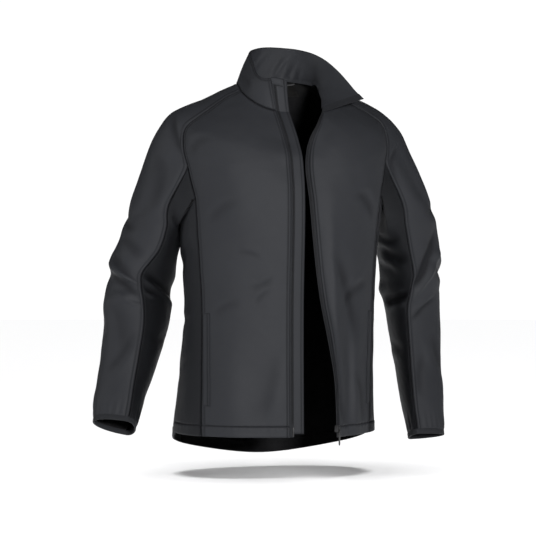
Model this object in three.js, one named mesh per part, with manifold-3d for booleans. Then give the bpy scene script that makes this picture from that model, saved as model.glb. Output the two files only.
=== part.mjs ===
// Softshell jacket with a stand collar, filled out as if worn, with its front zip open.
// Millimetres, +Z up. The wearer faces -Y, so the wearer's right side is -X.
// The origin is the middle of the neck base, level with the neck ends of the shoulders.

import * as THREE from 'three';
import { mergeVertices } from 'three/addons/utils/BufferGeometryUtils.js';
import Module from 'manifold-3d';

// Cloth and trim
const CLOTH = 2;               // bonded shell cloth
const HEM_CLOTH = 3.4;         // the cloth turned up and stitched at the hem
const HEM_DEPTH = 22;
const LEAF = 1.5;              // each leaf of the collar
const TAPE = 1;                // woven zip tape
const FLAP = 2;                // wind flap, two layers
const BINDING = { thick: 2.4, deep: 9, proud: 0.5, corner: 0.8, cornerDeep: 1 }; // round a cuff
const SEAM_GAP = 0.3;          // left open between two pieces at a seam
const LAYER_GAP = 0.35;        // left open between two layers
const COLLAR_TRIM = 0.6;       // how far the collar's leaves stay back from the neck seam

// Zip and front edges
const TAPE_BEYOND = 8.5;       // tape and teeth that show past the turned edge
const FLAP_BEYOND = 29;        // flap that shows past the turned edge
const FOLD_BACK = 0.965;       // share of the front's width where the zip tape starts
const EDGE_ANGLE = 5;          // where the fronts would end if the zip were closed, degrees
const SLIDER = {
  from: 1, to: 12, tall: 13, front: 0.8, back: -6.6, slotTo: 9.4, slotFront: -1.9, slotBack: -3.8, up: 17,
  corner: 0.8,
};
const BRIDGE = { wide: 2, low: -5.2, high: 4.2, post: 1.05, bar: 1, clear: 2.9, corner: 0.4, sunk: 0.5 };
const PULL = {
  wide: 6.5, tip: 7.4, long: 30, thick: 1.5, top: -2.5, eye: 4, eyeFrom: -3.7, eyeTo: -6.9,
  corner: 0.8, tipCorner: 1.4, tipTall: 3, waist: 1,
};
const HINGE_OUT = 1.85;        // middle of the pull tab's thickness, out from the turned edge
const STOP_THICK = 1.5;        // retaining box and pin on the tapes
const BOX = { from: 1.2, to: 8.2, low: 1, high: 9.6 };
const PIN = { from: 5.6, to: 8.2, low: 1, high: 19 };

// Collar, pocket, cuff, loop and label
const COLLAR_ROWS = 3;
const WELT = { bottom: 58, top: 242, thick: 1.5 };
const CHIN = { from: 0.6, to: 24, columns: 4 };
const NAPE_ANGLE = 166;        // the neck is turned a little, so its middle lies left of the back's
const LOOP = { spread: 26, below: 3, tall: 3.4, drop: 7, thick: 1, depth: 1.55, columns: 10 };
const LABEL = { spread: 24, above: -50, below: -14, thick: 0.7, depth: 0.75, columns: 6 };

// Rings of the body from hem to neck. "up" is the length along the side front seam, "right" and
// "left" the half widths, "front" and "back" the depths, the z columns the height at front, side and
// back, "roll" the lift of the left shoulder over the right one.
const BODY_RINGS = [
  { up: 0, right: 213, left: 196, front: 130, back: 130, zFront: -692, zSide: -687, zBack: -743, roll: 0 },
  { up: 110, right: 201, left: 192, front: 129, back: 129, zFront: -581, zSide: -579, zBack: -612, roll: 0 },
  { up: 245, right: 189, left: 195, front: 128, back: 128, zFront: -447, zSide: -447, zBack: -458, roll: 0.01 },
  { up: 360, right: 195, left: 201, front: 133, back: 130, zFront: -334, zSide: -332, zBack: -336, roll: 0.02 },
  { up: 463, right: 204, left: 214, front: 138, back: 130, zFront: -232, zSide: -222, zBack: -229, roll: 0.025 },
  { up: 493, right: 207, left: 217, front: 138, back: 130, zFront: -213, zSide: -187, zBack: -196, roll: 0.03 },
  { up: 528, right: 210, left: 220, front: 137, back: 129, zFront: -194, zSide: -149, zBack: -160, roll: 0.035 },
  { up: 566, right: 212, left: 222, front: 134, back: 127, zFront: -175, zSide: -113, zBack: -124, roll: 0.035 },
  { up: 608, right: 203, left: 211, front: 127, back: 122, zFront: -149, zSide: -74.5, zBack: -84, roll: 0.035 },
  { up: 644, right: 176, left: 182, front: 120, back: 115, zFront: -130, zSide: -48, zBack: -55, roll: 0.035 },
  { up: 678, right: 148, left: 151, front: 110, back: 104, zFront: -112, zSide: -27, zBack: -29, roll: 0.035 },
  { up: 716, right: 115, left: 116, front: 97, back: 89, zFront: -88, zSide: -10, zBack: -3, roll: 0.035 },
  { up: 750, right: 83.5, left: 83.5, front: 80, back: 71, zFront: -55, zSide: 0, zBack: 18, roll: 0.035 },
];
// Angles of the side front seam and side back seam from straight ahead, in degrees.
const BODY_SEAMS = [
  { up: 0, front: 65, back: 113 }, { up: 110, front: 67, back: 112 },
  { up: 245, front: 69.5, back: 111 }, { up: 360, front: 69.8, back: 111 },
  { up: 463, front: 69.8, back: 111 }, { up: 493, front: 71.9, back: 109 },
  { up: 528, front: 74, back: 107 }, { up: 566, front: 77.1, back: 104 },
  { up: 608, front: 79.3, back: 102 }, { up: 644, front: 77.7, back: 103 },
  { up: 678, front: 76.4, back: 104 }, { up: 716, front: 76.6, back: 105 },
  { up: 750, front: 76.3, back: 106 },
];
const RING_POWER = 2.3;        // 2 is an ellipse, more is squarer
const SHOULDER_POWER = 1.2;    // how the ring's height falls from the side to front and back
const TAIL_POWER = 0.75;       // the same at the hem, where the back drops into a broad tail
const TAIL_TOP = 245;          // length "up" over which the tail's shape fades out
const ARMPIT_DIP = 24;         // how far the side panel's top edge dips below its corners

// Where the turned front edges lie with the zip open, by the same length "up".
const RIGHT_EDGE = [
  { up: 0, x: -11.5, y: -131 }, { up: 245, x: -11.5, y: -129 }, { up: 463, x: -11.5, y: -139 },
  { up: 608, x: -13, y: -128 }, { up: 678, x: -16, y: -110 }, { up: 716, x: -20, y: -98 },
  { up: 750, x: -26, y: -79 },
];
const LEFT_EDGE = [
  { up: 0, x: 83, y: -150 }, { up: 112, x: 79, y: -150 }, { up: 190, x: 68, y: -147 },
  { up: 266, x: 55, y: -142 }, { up: 345, x: 46, y: -138 }, { up: 463, x: 36, y: -133 },
  { up: 528, x: 32, y: -128 }, { up: 590, x: 31, y: -122 }, { up: 644, x: 36, y: -114 },
  { up: 678, x: 42.5, y: -109 }, { up: 706, x: 50.5, y: -105.5 }, { up: 728, x: 60.5, y: -98.5 },
  { up: 750, x: 70, y: -84 },
];
const OPENING_POWER = 1.6;     // how late across the front the opening starts to pull

// Soft vertical folds of the two fronts: "at" is the share of the width from the side seam,
// "up" the middle height, "wide" and "long" its sizes as shares and mm, "lift" outwards.
const FRONT_FOLDS = {
  right: [
    { at: 0.30, up: 90, wide: 0.16, long: 120, lift: 4 },
    { at: 0.62, up: 60, wide: 0.14, long: 90, lift: -2.5 },
  ],
  left: [
    { at: 0.72, up: 290, wide: 0.10, long: 130, lift: 5 },
    { at: 0.50, up: 150, wide: 0.12, long: 150, lift: -6 },
    { at: 0.30, up: 90, wide: 0.13, long: 130, lift: 7 },
    { at: 0.80, up: 40, wide: 0.12, long: 90, lift: -2 },
  ],
};

// Crown of the shoulder strap from neck to sleeve head, and the rings of the sleeve below it.
// "at" is the length from the neck. In the first rows the strap runs from the front to the back
// shoulder seam over "crown". In the others the ring has a "centre", the half sizes "wide" outwards
// and "deep" forwards, the angles of its front and back seam, inwards from straight ahead and from
// straight behind, in degrees, and "droop", how far its inner side hangs down under the armhole.
const RIGHT_STRAP = [
  { at: 0, crown: [-83, 3, 2], round: 0 },
  { at: 34, crown: [-116, 3, -13], round: 0.1 },
  { at: 72, crown: [-149, 4, -28], round: 0.25 },
  { at: 106, crown: [-181, 6, -40.5], round: 0.45 },
  { at: 142, crown: [-219, 9, -61], round: 0.7 },
  { at: 184, crown: [-247, 14, -100], round: 0.9 },
  { at: 222, crown: [-265, 20, -146], round: 1 },
];
const LEFT_STRAP = [
  { at: 0, crown: [83, 3, 6], round: 0 },
  { at: 34, crown: [117, 3, -3], round: 0.1 },
  { at: 72, crown: [152, 4, -17], round: 0.25 },
  { at: 106, crown: [186, 6, -30], round: 0.45 },
  { at: 142, crown: [223, 9, -50], round: 0.7 },
  { at: 184, crown: [257, 12, -84], round: 0.9 },
  { at: 222, crown: [281, 16, -130], round: 1 },
];
const RIGHT_SLEEVE = [
  { at: 262, centre: [-248, 28, -222], wide: 41, deep: 76, seamFront: 24, seamBack: 30, droop: 42 },
  { at: 312, centre: [-249, 40, -268], wide: 50, deep: 74, seamFront: 18, seamBack: 30, droop: 22 },
  { at: 362, centre: [-255, 50, -316], wide: 59, deep: 71, seamFront: 8, seamBack: 30, droop: 7 },
  { at: 415, centre: [-264, 58, -368], wide: 67, deep: 68, seamFront: -12, seamBack: 32, droop: 0 },
  { at: 447, centre: [-271, 60, -400], wide: 64, deep: 67, seamFront: -8, seamBack: 34, droop: 0 },
  { at: 494, centre: [-275, 56, -447], wide: 68, deep: 66, seamFront: 0, seamBack: 34, droop: 0 },
  { at: 540, centre: [-283, 46, -492], wide: 62, deep: 63, seamFront: 6, seamBack: 36, droop: 0 },
  { at: 600, centre: [-299, 29, -548], wide: 56, deep: 58, seamFront: 12, seamBack: 38, droop: 0 },
  { at: 655, centre: [-316, 11, -600], wide: 50, deep: 53, seamFront: 20, seamBack: 40, droop: 0 },
  { at: 695, centre: [-327, -5, -634], wide: 48, deep: 49, seamFront: 26, seamBack: 40, droop: 0 },
  { at: 731, centre: [-335, -21, -664], wide: 42, deep: 39, seamFront: 30, seamBack: 40, droop: 0 },
];
const LEFT_SLEEVE = [
  { at: 262, centre: [267, 26, -208], wide: 51, deep: 75, seamFront: 24, seamBack: 30, droop: 50 },
  { at: 312, centre: [279, 38, -258], wide: 60, deep: 74, seamFront: 20, seamBack: 30, droop: 28 },
  { at: 362, centre: [291, 50, -311], wide: 62, deep: 71, seamFront: 18, seamBack: 30, droop: 9 },
  { at: 415, centre: [299, 58, -368], wide: 58, deep: 68, seamFront: 15, seamBack: 32, droop: 0 },
  { at: 447, centre: [301, 60, -400], wide: 58, deep: 67, seamFront: 20, seamBack: 34, droop: 0 },
  { at: 494, centre: [306, 58, -447], wide: 56, deep: 66, seamFront: 34, seamBack: 34, droop: 0 },
  { at: 540, centre: [308, 50, -492], wide: 53, deep: 63, seamFront: 38, seamBack: 36, droop: 0 },
  { at: 600, centre: [309, 36, -550], wide: 48, deep: 58, seamFront: 42, seamBack: 38, droop: 0 },
  { at: 660, centre: [310, 19, -608], wide: 46, deep: 53, seamFront: 45, seamBack: 40, droop: 0 },
  { at: 705, centre: [310, 6, -651], wide: 42, deep: 49, seamFront: 47, seamBack: 40, droop: 0 },
  { at: 752, centre: [311, -7, -697], wide: 37, deep: 41, seamFront: 48, seamBack: 40, droop: 0 },
];
const ARMHOLE_AT = 222;        // where the strap ends and the under sleeve begins
const ARMPIT_FADE = 110;       // length over which the under sleeve leaves the armhole's shape
const GATHER = { from: 34, lift: 1.7 };

// Largest folds of the sleeves: "across" runs from the front seam (0) over the outer side to the
// back seam (1), "at" is the length from the neck, "turn" slants the fold, "lift" is outwards.
const SLEEVE_FOLDS = {
  right: [
    { across: 0.22, at: 424, wide: 11, long: 60, turn: -22, lift: 7 },
    { across: 0.30, at: 452, wide: 13, long: 62, turn: -30, lift: -6 },
    { across: 0.12, at: 474, wide: 12, long: 46, turn: 16, lift: 5 },
    { across: 0.72, at: 436, wide: 14, long: 60, turn: 18, lift: -6 },
    { across: 0.80, at: 398, wide: 14, long: 55, turn: 10, lift: 4 },
    { across: 0.20, at: 250, wide: 14, long: 60, turn: 62, lift: -5 },
  ],
  left: [
    { across: 0.42, at: 424, wide: 11, long: 62, turn: 42, lift: -7 },
    { across: 0.34, at: 398, wide: 12, long: 56, turn: 36, lift: 6 },
    { across: 0.50, at: 462, wide: 12, long: 50, turn: 30, lift: 5 },
    { across: 0.74, at: 440, wide: 14, long: 60, turn: -16, lift: -6 },
    { across: 0.24, at: 256, wide: 14, long: 60, turn: 66, lift: -5 },
  ],
};

// Collar's top edge, from the right front corner round the back to the left front tip. "at" is the
// share of the way along the neck seam on that side, 0 at the back and 1 at the front edge, and
// "bow" how far the collar curves out between seam and edge.
const RIGHT_COLLAR_TOP = [
  { at: 0, top: [0, 60, 84], bow: 2 }, { at: 0.14, top: [-22, 56, 82], bow: 2 },
  { at: 0.30, top: [-43, 43, 76], bow: 2 }, { at: 0.43, top: [-54, 22, 68], bow: 2 },
  { at: 0.55, top: [-57, -2, 54], bow: 3 }, { at: 0.67, top: [-58, -27, 37], bow: 4 },
  { at: 0.78, top: [-58, -49, 20], bow: 5 }, { at: 0.89, top: [-52, -70, 9], bow: 3 },
  { at: 1, top: [-39, -85, 6], bow: 1 },
];
const LEFT_COLLAR_TOP = [
  { at: 0, top: [0, 60, 84], bow: 2 }, { at: 0.14, top: [26, 59, 83], bow: 2 },
  { at: 0.30, top: [56, 48, 79], bow: 2 }, { at: 0.43, top: [82, 27, 69], bow: 0 },
  { at: 0.55, top: [101, 4, 53], bow: -3 }, { at: 0.67, top: [116, -22, 32], bow: -5 },
  { at: 0.78, top: [129, -45, 9], bow: -6 }, { at: 0.89, top: [140, -66, -13], bow: -5 },
  { at: 1, top: [149, -80, -27], bow: -2 },
];

// Rows and columns of the pieces' grids, shared by pieces that meet at a seam
const LOW_UPS = [0, 6, HEM_DEPTH, 58, 95, 130, 168, 205, 242, 280, 318, 356, 394, 430, 463];
const ARMHOLE_UPS = [463, 480, 496, 512, 528];
const SHOULDER_UPS = [528, 550, 572, 592, 612, 636, 660, 684, 706, 728, 750];
const FRONT_SHARES = [0, 0.02, 0.088, 0.2, 0.32, 0.44, 0.56, 0.68, 0.79, 0.89, FOLD_BACK, 1];
const TURNED_SHARE = 0.9;      // past this share the front's own turned edge takes the hem's place
const BACK_COLUMNS = 14;
const SIDE_COLUMNS = 6;
const OUTER_COLUMNS = 12;
const SLEEVE_ATS = [222, 244, 268, 294, 322, 350, 374, 394, 408, 420, 432, 444, 456, 470, 486, 510,
  540, 575, 612, 650, 690, 716, 732, 745];

// Colours and finishes
const FINISHES = {
  shell: { color: 0x33363b, roughness: 0.82, metalness: 0 },
  tape: { color: 0x16171a, roughness: 0.85, metalness: 0 },
  binding: { color: 0x2c2f34, roughness: 0.8, metalness: 0 },
  label: { color: 0x1d1c1a, roughness: 0.7, metalness: 0 },
  metal: { color: 0x1b1c1e, roughness: 0.42, metalness: 0.8 },
};

const radians = THREE.MathUtils.degToRad;
const vector = (values) => new THREE.Vector3(...values);
const RIGHT = -1;
const LEFT = 1;

// Smooth curve through one column of a table, by another column.
function track(rows, knot, column) {
  const xs = rows.map((row) => row[knot]);
  const ys = rows.map((row) => row[column]);
  const slopes = xs.map((x, i) => {
    const before = Math.max(i - 1, 0);
    const after = Math.min(i + 1, xs.length - 1);
    return (ys[after] - ys[before]) / (xs[after] - xs[before]);
  });
  return (x) => {
    let i = 0;
    while (i < xs.length - 2 && x > xs[i + 1]) i += 1;
    const span = xs[i + 1] - xs[i];
    const t = (x - xs[i]) / span;
    const rise = t * t * (3 - 2 * t);
    const lead = t * (1 - t) * (1 - t) * span * slopes[i];
    const trail = t * t * (t - 1) * span * slopes[i + 1];
    return ys[i] + (ys[i + 1] - ys[i]) * rise + lead + trail;
  };
}

// Smooth curve in space through rows whose column holds a point.
function trackPoint(rows, knot, column) {
  const parts = [0, 1, 2].map((axis) => {
    const flat = rows.map((row) => ({ knot: row[knot], value: row[column][axis] }));
    return track(flat, 'knot', 'value');
  });
  return (x) => vector(parts.map((part) => part(x)));
}

function smoothStep(from, to, x) {
  const t = THREE.MathUtils.clamp((x - from) / (to - from), 0, 1);
  return t * t * (3 - 2 * t);
}

// Body surface

const ring = {};
for (const column of Object.keys(BODY_RINGS[0])) ring[column] = track(BODY_RINGS, 'up', column);
const seamAngle = { front: track(BODY_SEAMS, 'up', 'front'), back: track(BODY_SEAMS, 'up', 'back') };
const edges = {
  [RIGHT]: { x: track(RIGHT_EDGE, 'up', 'x'), y: track(RIGHT_EDGE, 'up', 'y') },
  [LEFT]: { x: track(LEFT_EDGE, 'up', 'x'), y: track(LEFT_EDGE, 'up', 'y') },
};

function bodyPoint(side, angle, up) {
  const sine = Math.sin(radians(angle));
  const cosine = Math.cos(radians(angle));
  const depth = cosine > 0 ? ring.front(up) : ring.back(up);
  const endHeight = cosine > 0 ? ring.zFront(up) : ring.zBack(up);
  const half = side === RIGHT ? ring.right(up) : ring.left(up);
  const sum = Math.abs(sine / half) ** RING_POWER + Math.abs(cosine / depth) ** RING_POWER;
  const radius = sum ** (-1 / RING_POWER);
  const x = side * radius * sine;
  const power = TAIL_POWER + (SHOULDER_POWER - TAIL_POWER) * smoothStep(0, TAIL_TOP, up);
  const z = ring.zSide(up) + (endHeight - ring.zSide(up)) * Math.abs(cosine) ** power;
  return new THREE.Vector3(x, -radius * cosine, z + ring.roll(up) * x);
}

function frontFold(side, share, up) {
  const rows = side === RIGHT ? FRONT_FOLDS.right : FRONT_FOLDS.left;
  return rows.reduce((sum, row) => {
    const across = (share - row.at) / row.wide;
    const along = (up - row.up) / row.long;
    return sum + row.lift * Math.exp(-across * across - along * along);
  }, 0);
}

// Front panel: share 0 is the side front seam and 1 the turned front edge.
function frontPoint(side, share, up) {
  const angle = THREE.MathUtils.lerp(seamAngle.front(up), EDGE_ANGLE, share);
  const point = bodyPoint(side, angle, up);
  const closed = bodyPoint(side, EDGE_ANGLE, up);
  const pull = Math.max(share, 0) ** OPENING_POWER;
  point.x += (edges[side].x(up) - closed.x) * pull;
  point.y += (edges[side].y(up) - closed.y) * pull;
  const fade = smoothStep(0, 0.12, share) * smoothStep(1.05, 0.9, share);
  point.y -= frontFold(side, share, up) * fade;
  return point;
}

function sidePoint(side, share, level) {
  const dip = ARMPIT_DIP * Math.sin(Math.PI * share) ** 1.5;
  const up = level * (1 - dip / ARMHOLE_UPS[0]);
  const angle = THREE.MathUtils.lerp(seamAngle.front(level), seamAngle.back(level), share);
  return bodyPoint(side, angle, up);
}

// Back panel: share -1 is the right seam and 1 the left seam.
function backPoint(share, up) {
  const side = share < 0 ? RIGHT : LEFT;
  return bodyPoint(side, 180 - (180 - seamAngle.back(up)) * Math.abs(share), up);
}

// Sleeves

// Half round curve from one seam to the other over a crown: across runs from -1 to 1.
function arch(start, crown, end, round, across) {
  const bent = (1 - round) * across + round * Math.sin(Math.PI * across / 2);
  const rise = (1 - round) * (1 - across * across) + round * Math.cos(Math.PI * across / 2);
  const middle = start.clone().add(end).multiplyScalar(0.5);
  const half = end.clone().sub(start).multiplyScalar(0.5);
  const up = crown.clone().sub(middle).multiplyScalar(rise);
  return middle.addScaledVector(half, bent).add(up);
}

// The four guide points of a sleeve ring: front seam, crown, back seam and inner side.
function sleeveGuides(side, rows, i) {
  const centre = vector(rows[i].centre);
  const before = vector(rows[Math.max(i - 1, 0)].centre);
  const after = vector(rows[Math.min(i + 1, rows.length - 1)].centre);
  const axis = after.sub(before).normalize();
  const outward = new THREE.Vector3(side, 0, 0).addScaledVector(axis, -side * axis.x).normalize();
  const forward = axis.clone().cross(outward).multiplyScalar(side).normalize();
  const on = (angle) => centre.clone()
    .addScaledVector(outward, rows[i].wide * Math.sin(angle))
    .addScaledVector(forward, rows[i].deep * Math.cos(angle));
  return {
    at: rows[i].at,
    front: on(radians(-rows[i].seamFront)).toArray(),
    crown: on(Math.PI / 2).toArray(),
    back: on(Math.PI + radians(rows[i].seamBack)).toArray(),
    inner: on(-Math.PI / 2).setZ(on(-Math.PI / 2).z - rows[i].droop).toArray(),
    round: 1,
  };
}

const FOLD_ACROSS = 190;       // the sleeve's rough width, by which its folds are placed across
const FOLDS_FROM = ARMHOLE_AT - 20;

function makeSleeve(side, strap, rows, folds) {
  const upAt = (at) => SHOULDER_UPS.at(-1) - at;
  const bodySeam = (at, edge) => bodyPoint(side, seamAngle[edge](upAt(at)), upAt(at));
  const strapGuides = strap.map((row) => ({
    ...row,
    front: bodySeam(row.at, 'front').toArray(),
    back: bodySeam(row.at, 'back').toArray(),
  }));
  const armpit = sidePoint(side, 0.5, ARMHOLE_UPS[0]).toArray();
  const ringGuides = rows.map((_, i) => sleeveGuides(side, rows, i));
  const guides = [...strapGuides, ...ringGuides];
  const lower = [{ at: ARMHOLE_AT, inner: armpit }, ...ringGuides];
  const seam = { front: trackPoint(guides, 'at', 'front'), back: trackPoint(guides, 'at', 'back') };
  const crown = trackPoint(guides, 'at', 'crown');
  const inner = trackPoint(lower, 'at', 'inner');
  const round = track(guides, 'at', 'round');
  const end = rows.at(-1).at;
  const front = (at) => (at <= ARMHOLE_AT ? bodySeam(at, 'front') : seam.front(at));
  const back = (at) => (at <= ARMHOLE_AT ? bodySeam(at, 'back') : seam.back(at));

  function fold(across, at) {
    return folds.reduce((sum, row) => {
      const sideways = (across - row.across) * FOLD_ACROSS;
      const along = at - row.at;
      const angle = radians(row.turn);
      const lengthwise = sideways * Math.cos(angle) + along * Math.sin(angle);
      const crosswise = along * Math.cos(angle) - sideways * Math.sin(angle);
      return sum + row.lift * Math.exp(-((lengthwise / row.long) ** 2) - (crosswise / row.wide) ** 2);
    }, 0);
  }

  // Outer sleeve with its strap: across runs from 0, the front seam, to 1, the back seam.
  function outer(across, at) {
    const point = arch(front(at), crown(at), back(at), round(at), 2 * across - 1);
    if (at <= FOLDS_FROM) return point;
    const centre = crown(at).add(inner(Math.max(at, ARMHOLE_AT))).multiplyScalar(0.5);
    const outwards = point.clone().sub(centre).setZ(0).normalize();
    const fade = smoothStep(0, 0.12, across) * smoothStep(1, 0.88, across);
    return point.addScaledVector(outwards, fold(across, at) * fade);
  }

  // Under sleeve: across runs from 0, the front seam, under the arm to 1, the back seam.
  function plainUnder(across, at) {
    return arch(front(at), inner(at), back(at), 1, 2 * across - 1);
  }
  return { side, front, back, outer, plainUnder, end };
}

const sleeves = {
  [RIGHT]: makeSleeve(RIGHT, RIGHT_STRAP, RIGHT_SLEEVE, SLEEVE_FOLDS.right),
  [LEFT]: makeSleeve(LEFT, LEFT_STRAP, LEFT_SLEEVE, SLEEVE_FOLDS.left),
};

// Grids of points, one row after another

const UPS = [...LOW_UPS, ...ARMHOLE_UPS.slice(1), ...SHOULDER_UPS.slice(1)];
const spread = (count, from, to) => (
  Array.from({ length: count + 1 }, (_, i) => from + (to - from) * i / count)
);
const grid = (rows, columns, point) => rows.map((row) => columns.map((column) => point(column, row)));

function frontGrid(side) {
  return grid(UPS, FRONT_SHARES, (share, up) => frontPoint(side, share, up));
}

function sideGrid(side) {
  return grid(LOW_UPS, spread(SIDE_COLUMNS, 0, 1), (share, level) => sidePoint(side, share, level));
}

function backGrid() {
  return grid(UPS, spread(BACK_COLUMNS, -1, 1), backPoint);
}

function sleeveRows(sleeve) {
  const stretch = (sleeve.end - ARMHOLE_AT) / (SLEEVE_ATS.at(-1) - ARMHOLE_AT);
  return SLEEVE_ATS.map((at) => ARMHOLE_AT + (at - ARMHOLE_AT) * stretch);
}

const sleeveRowsOf = (side) => (side === RIGHT ? RIGHT_SLEEVE : LEFT_SLEEVE);
const cuffCentre = (side) => vector(sleeveRowsOf(side).at(-1).centre);
const cuffAxis = (side) => cuffCentre(side).sub(vector(sleeveRowsOf(side).at(-2).centre)).normalize();
const square = (away, axis) => away.addScaledVector(axis, -away.dot(axis)).normalize();

// Small gathers at the cuff: every other column stands out.
function gather(sleeve, rowPoints, at, wave) {
  const strength = smoothStep(sleeve.end - GATHER.from, sleeve.end - 4, at) * GATHER.lift;
  const total = rowPoints.reduce((sum, point) => sum.add(point), new THREE.Vector3());
  const centre = total.divideScalar(rowPoints.length);
  rowPoints.slice(1, -1).forEach((point, j) => {
    const away = square(point.clone().sub(centre), cuffAxis(sleeve.side));
    point.addScaledVector(away, strength * wave(j + 1));
  });
}

function outerGrid(sleeve) {
  const strapAts = SHOULDER_UPS.slice(1).reverse().map((up) => SHOULDER_UPS.at(-1) - up);
  const ats = [...strapAts, ...sleeveRows(sleeve)];
  const points = grid(ats, spread(OUTER_COLUMNS, 0, 1), sleeve.outer);
  points.forEach((row, i) => gather(sleeve, row, ats[i], (j) => (j % 2 ? 1 : -1)));
  return points;
}

// The armhole under the arm: down the front, along the side panel's top and up the back.
function armholeRow(side) {
  const down = [...ARMHOLE_UPS].reverse().map((up) => frontPoint(side, 0, up));
  const between = spread(SIDE_COLUMNS, 0, 1).slice(1, -1);
  const along = between.map((share) => sidePoint(side, share, ARMHOLE_UPS[0]));
  const rise = ARMHOLE_UPS.map((up) => bodyPoint(side, seamAngle.back(up), up));
  return [...down, ...along, ...rise];
}

function underGrid(sleeve) {
  const armhole = armholeRow(sleeve.side);
  const lengths = armhole.map((point, i) => (i ? point.distanceTo(armhole[i - 1]) : 0));
  const total = lengths.reduce((sum, length) => sum + length, 0);
  let run = 0;
  const shares = lengths.map((length) => (run += length) / total);
  const even = spread(armhole.length - 1, 0, 1);
  const rows = sleeveRows(sleeve);
  const points = rows.map((at) => {
    const fade = 1 - smoothStep(ARMHOLE_AT, ARMHOLE_AT + ARMPIT_FADE, at);
    return armhole.map((seamPoint, j) => {
      const share = shares[j] * fade + even[j] * (1 - fade);
      const shift = seamPoint.clone().sub(sleeve.plainUnder(shares[j], ARMHOLE_AT));
      return sleeve.plainUnder(share, at).addScaledVector(shift, fade);
    });
  });
  points.forEach((row, i) => gather(sleeve, row, rows[i], (j) => (j % 2 ? 1 : -1)));
  return points;
}

// The neck seam, from the right front edge round the back to the left front edge.
function neckRow(front, outer, back) {
  const frontRight = front[RIGHT].at(-1);
  const frontLeft = front[LEFT].at(-1);
  return [
    ...[...frontRight].reverse(), ...outer[RIGHT][0].slice(1), ...back.at(-1).slice(1),
    ...[...outer[LEFT][0]].reverse().slice(1), ...frontLeft.slice(1),
  ];
}

function collarGrid(neck) {
  const middle = (neck.length - 1) / 2;
  const top = {
    [RIGHT]: { point: trackPoint(RIGHT_COLLAR_TOP, 'at', 'top'), bow: track(RIGHT_COLLAR_TOP, 'at', 'bow') },
    [LEFT]: { point: trackPoint(LEFT_COLLAR_TOP, 'at', 'top'), bow: track(LEFT_COLLAR_TOP, 'at', 'bow') },
  };
  const run = [0];
  for (let j = 1; j < neck.length; j += 1) run.push(run[j - 1] + neck[j].distanceTo(neck[j - 1]));
  const half = run[middle];
  const whole = run.at(-1);
  return spread(COLLAR_ROWS, 0, 1).map((rise) => neck.map((seamPoint, j) => {
    const side = j < middle ? RIGHT : LEFT;
    const at = j < middle ? 1 - run[j] / half : (run[j] - half) / (whole - half);
    const point = seamPoint.clone().lerp(top[side].point(at), rise);
    const away = point.clone().setZ(0).normalize();
    return point.addScaledVector(away, top[side].bow(at) * 4 * rise * (1 - rise));
  }));
}

// Normals of a grid, pointing to the side from which its columns run left to right as rows rise

function gridNormals(points, flip) {
  const last = points.length - 1;
  const lastColumn = points[0].length - 1;
  return points.map((row, i) => row.map((_, j) => {
    const up = points[Math.min(i + 1, last)][j].clone().sub(points[Math.max(i - 1, 0)][j]);
    const along = row[Math.min(j + 1, lastColumn)].clone().sub(row[Math.max(j - 1, 0)]);
    const normal = along.cross(up).normalize();
    return flip ? normal.negate() : normal;
  }));
}

// Pieces that meet at a seam share one direction there, so that their walls mitre.
function weldNormals(patches) {
  const rim = [];
  for (const { points, normals } of patches) {
    points.forEach((row, i) => row.forEach((point, j) => {
      const inside = i > 0 && i < points.length - 1 && j > 0 && j < row.length - 1;
      if (!inside) rim.push({ point, normals, i, j, own: normals[i][j].clone() });
    }));
  }
  const touch = 0.05;
  for (const entry of rim) {
    const sum = new THREE.Vector3();
    const meeting = rim.filter((other) => other.point.distanceTo(entry.point) < touch);
    meeting.forEach((other) => sum.add(other.own));
    entry.normals[entry.i][entry.j] = sum.normalize();
  }
}

// Closed wall between two depths under a grid: depth 0 is the outer face, more is further in.
// "trim" draws the rim back along the grid, for the gap at a seam.
function wallGeometry(points, normals, outerDepth, innerDepth, trim = SEAM_GAP / 2) {
  const lastRow = points.length - 1;
  const lastColumn = points[0].length - 1;
  const trimmed = points.map((row, i) => row.map((point, j) => {
    const moved = point.clone();
    if (i === 0) moved.add(points[1][j].clone().sub(point).setLength(trim));
    if (i === lastRow) moved.add(points[lastRow - 1][j].clone().sub(point).setLength(trim));
    if (j === 0) moved.add(row[1].clone().sub(point).setLength(trim));
    if (j === lastColumn) moved.add(row[lastColumn - 1].clone().sub(point).setLength(trim));
    return moved;
  }));
  const depthOf = (depth, i, j) => (typeof depth === 'function' ? depth(i, j) : depth);
  const layers = [outerDepth, innerDepth].map((depth) => trimmed.map((row, i) => row.map(
    (point, j) => point.clone().addScaledVector(normals[i][j], -depthOf(depth, i, j)),
  )));
  return closedGeometry(layers[0], layers[1]);
}

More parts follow.
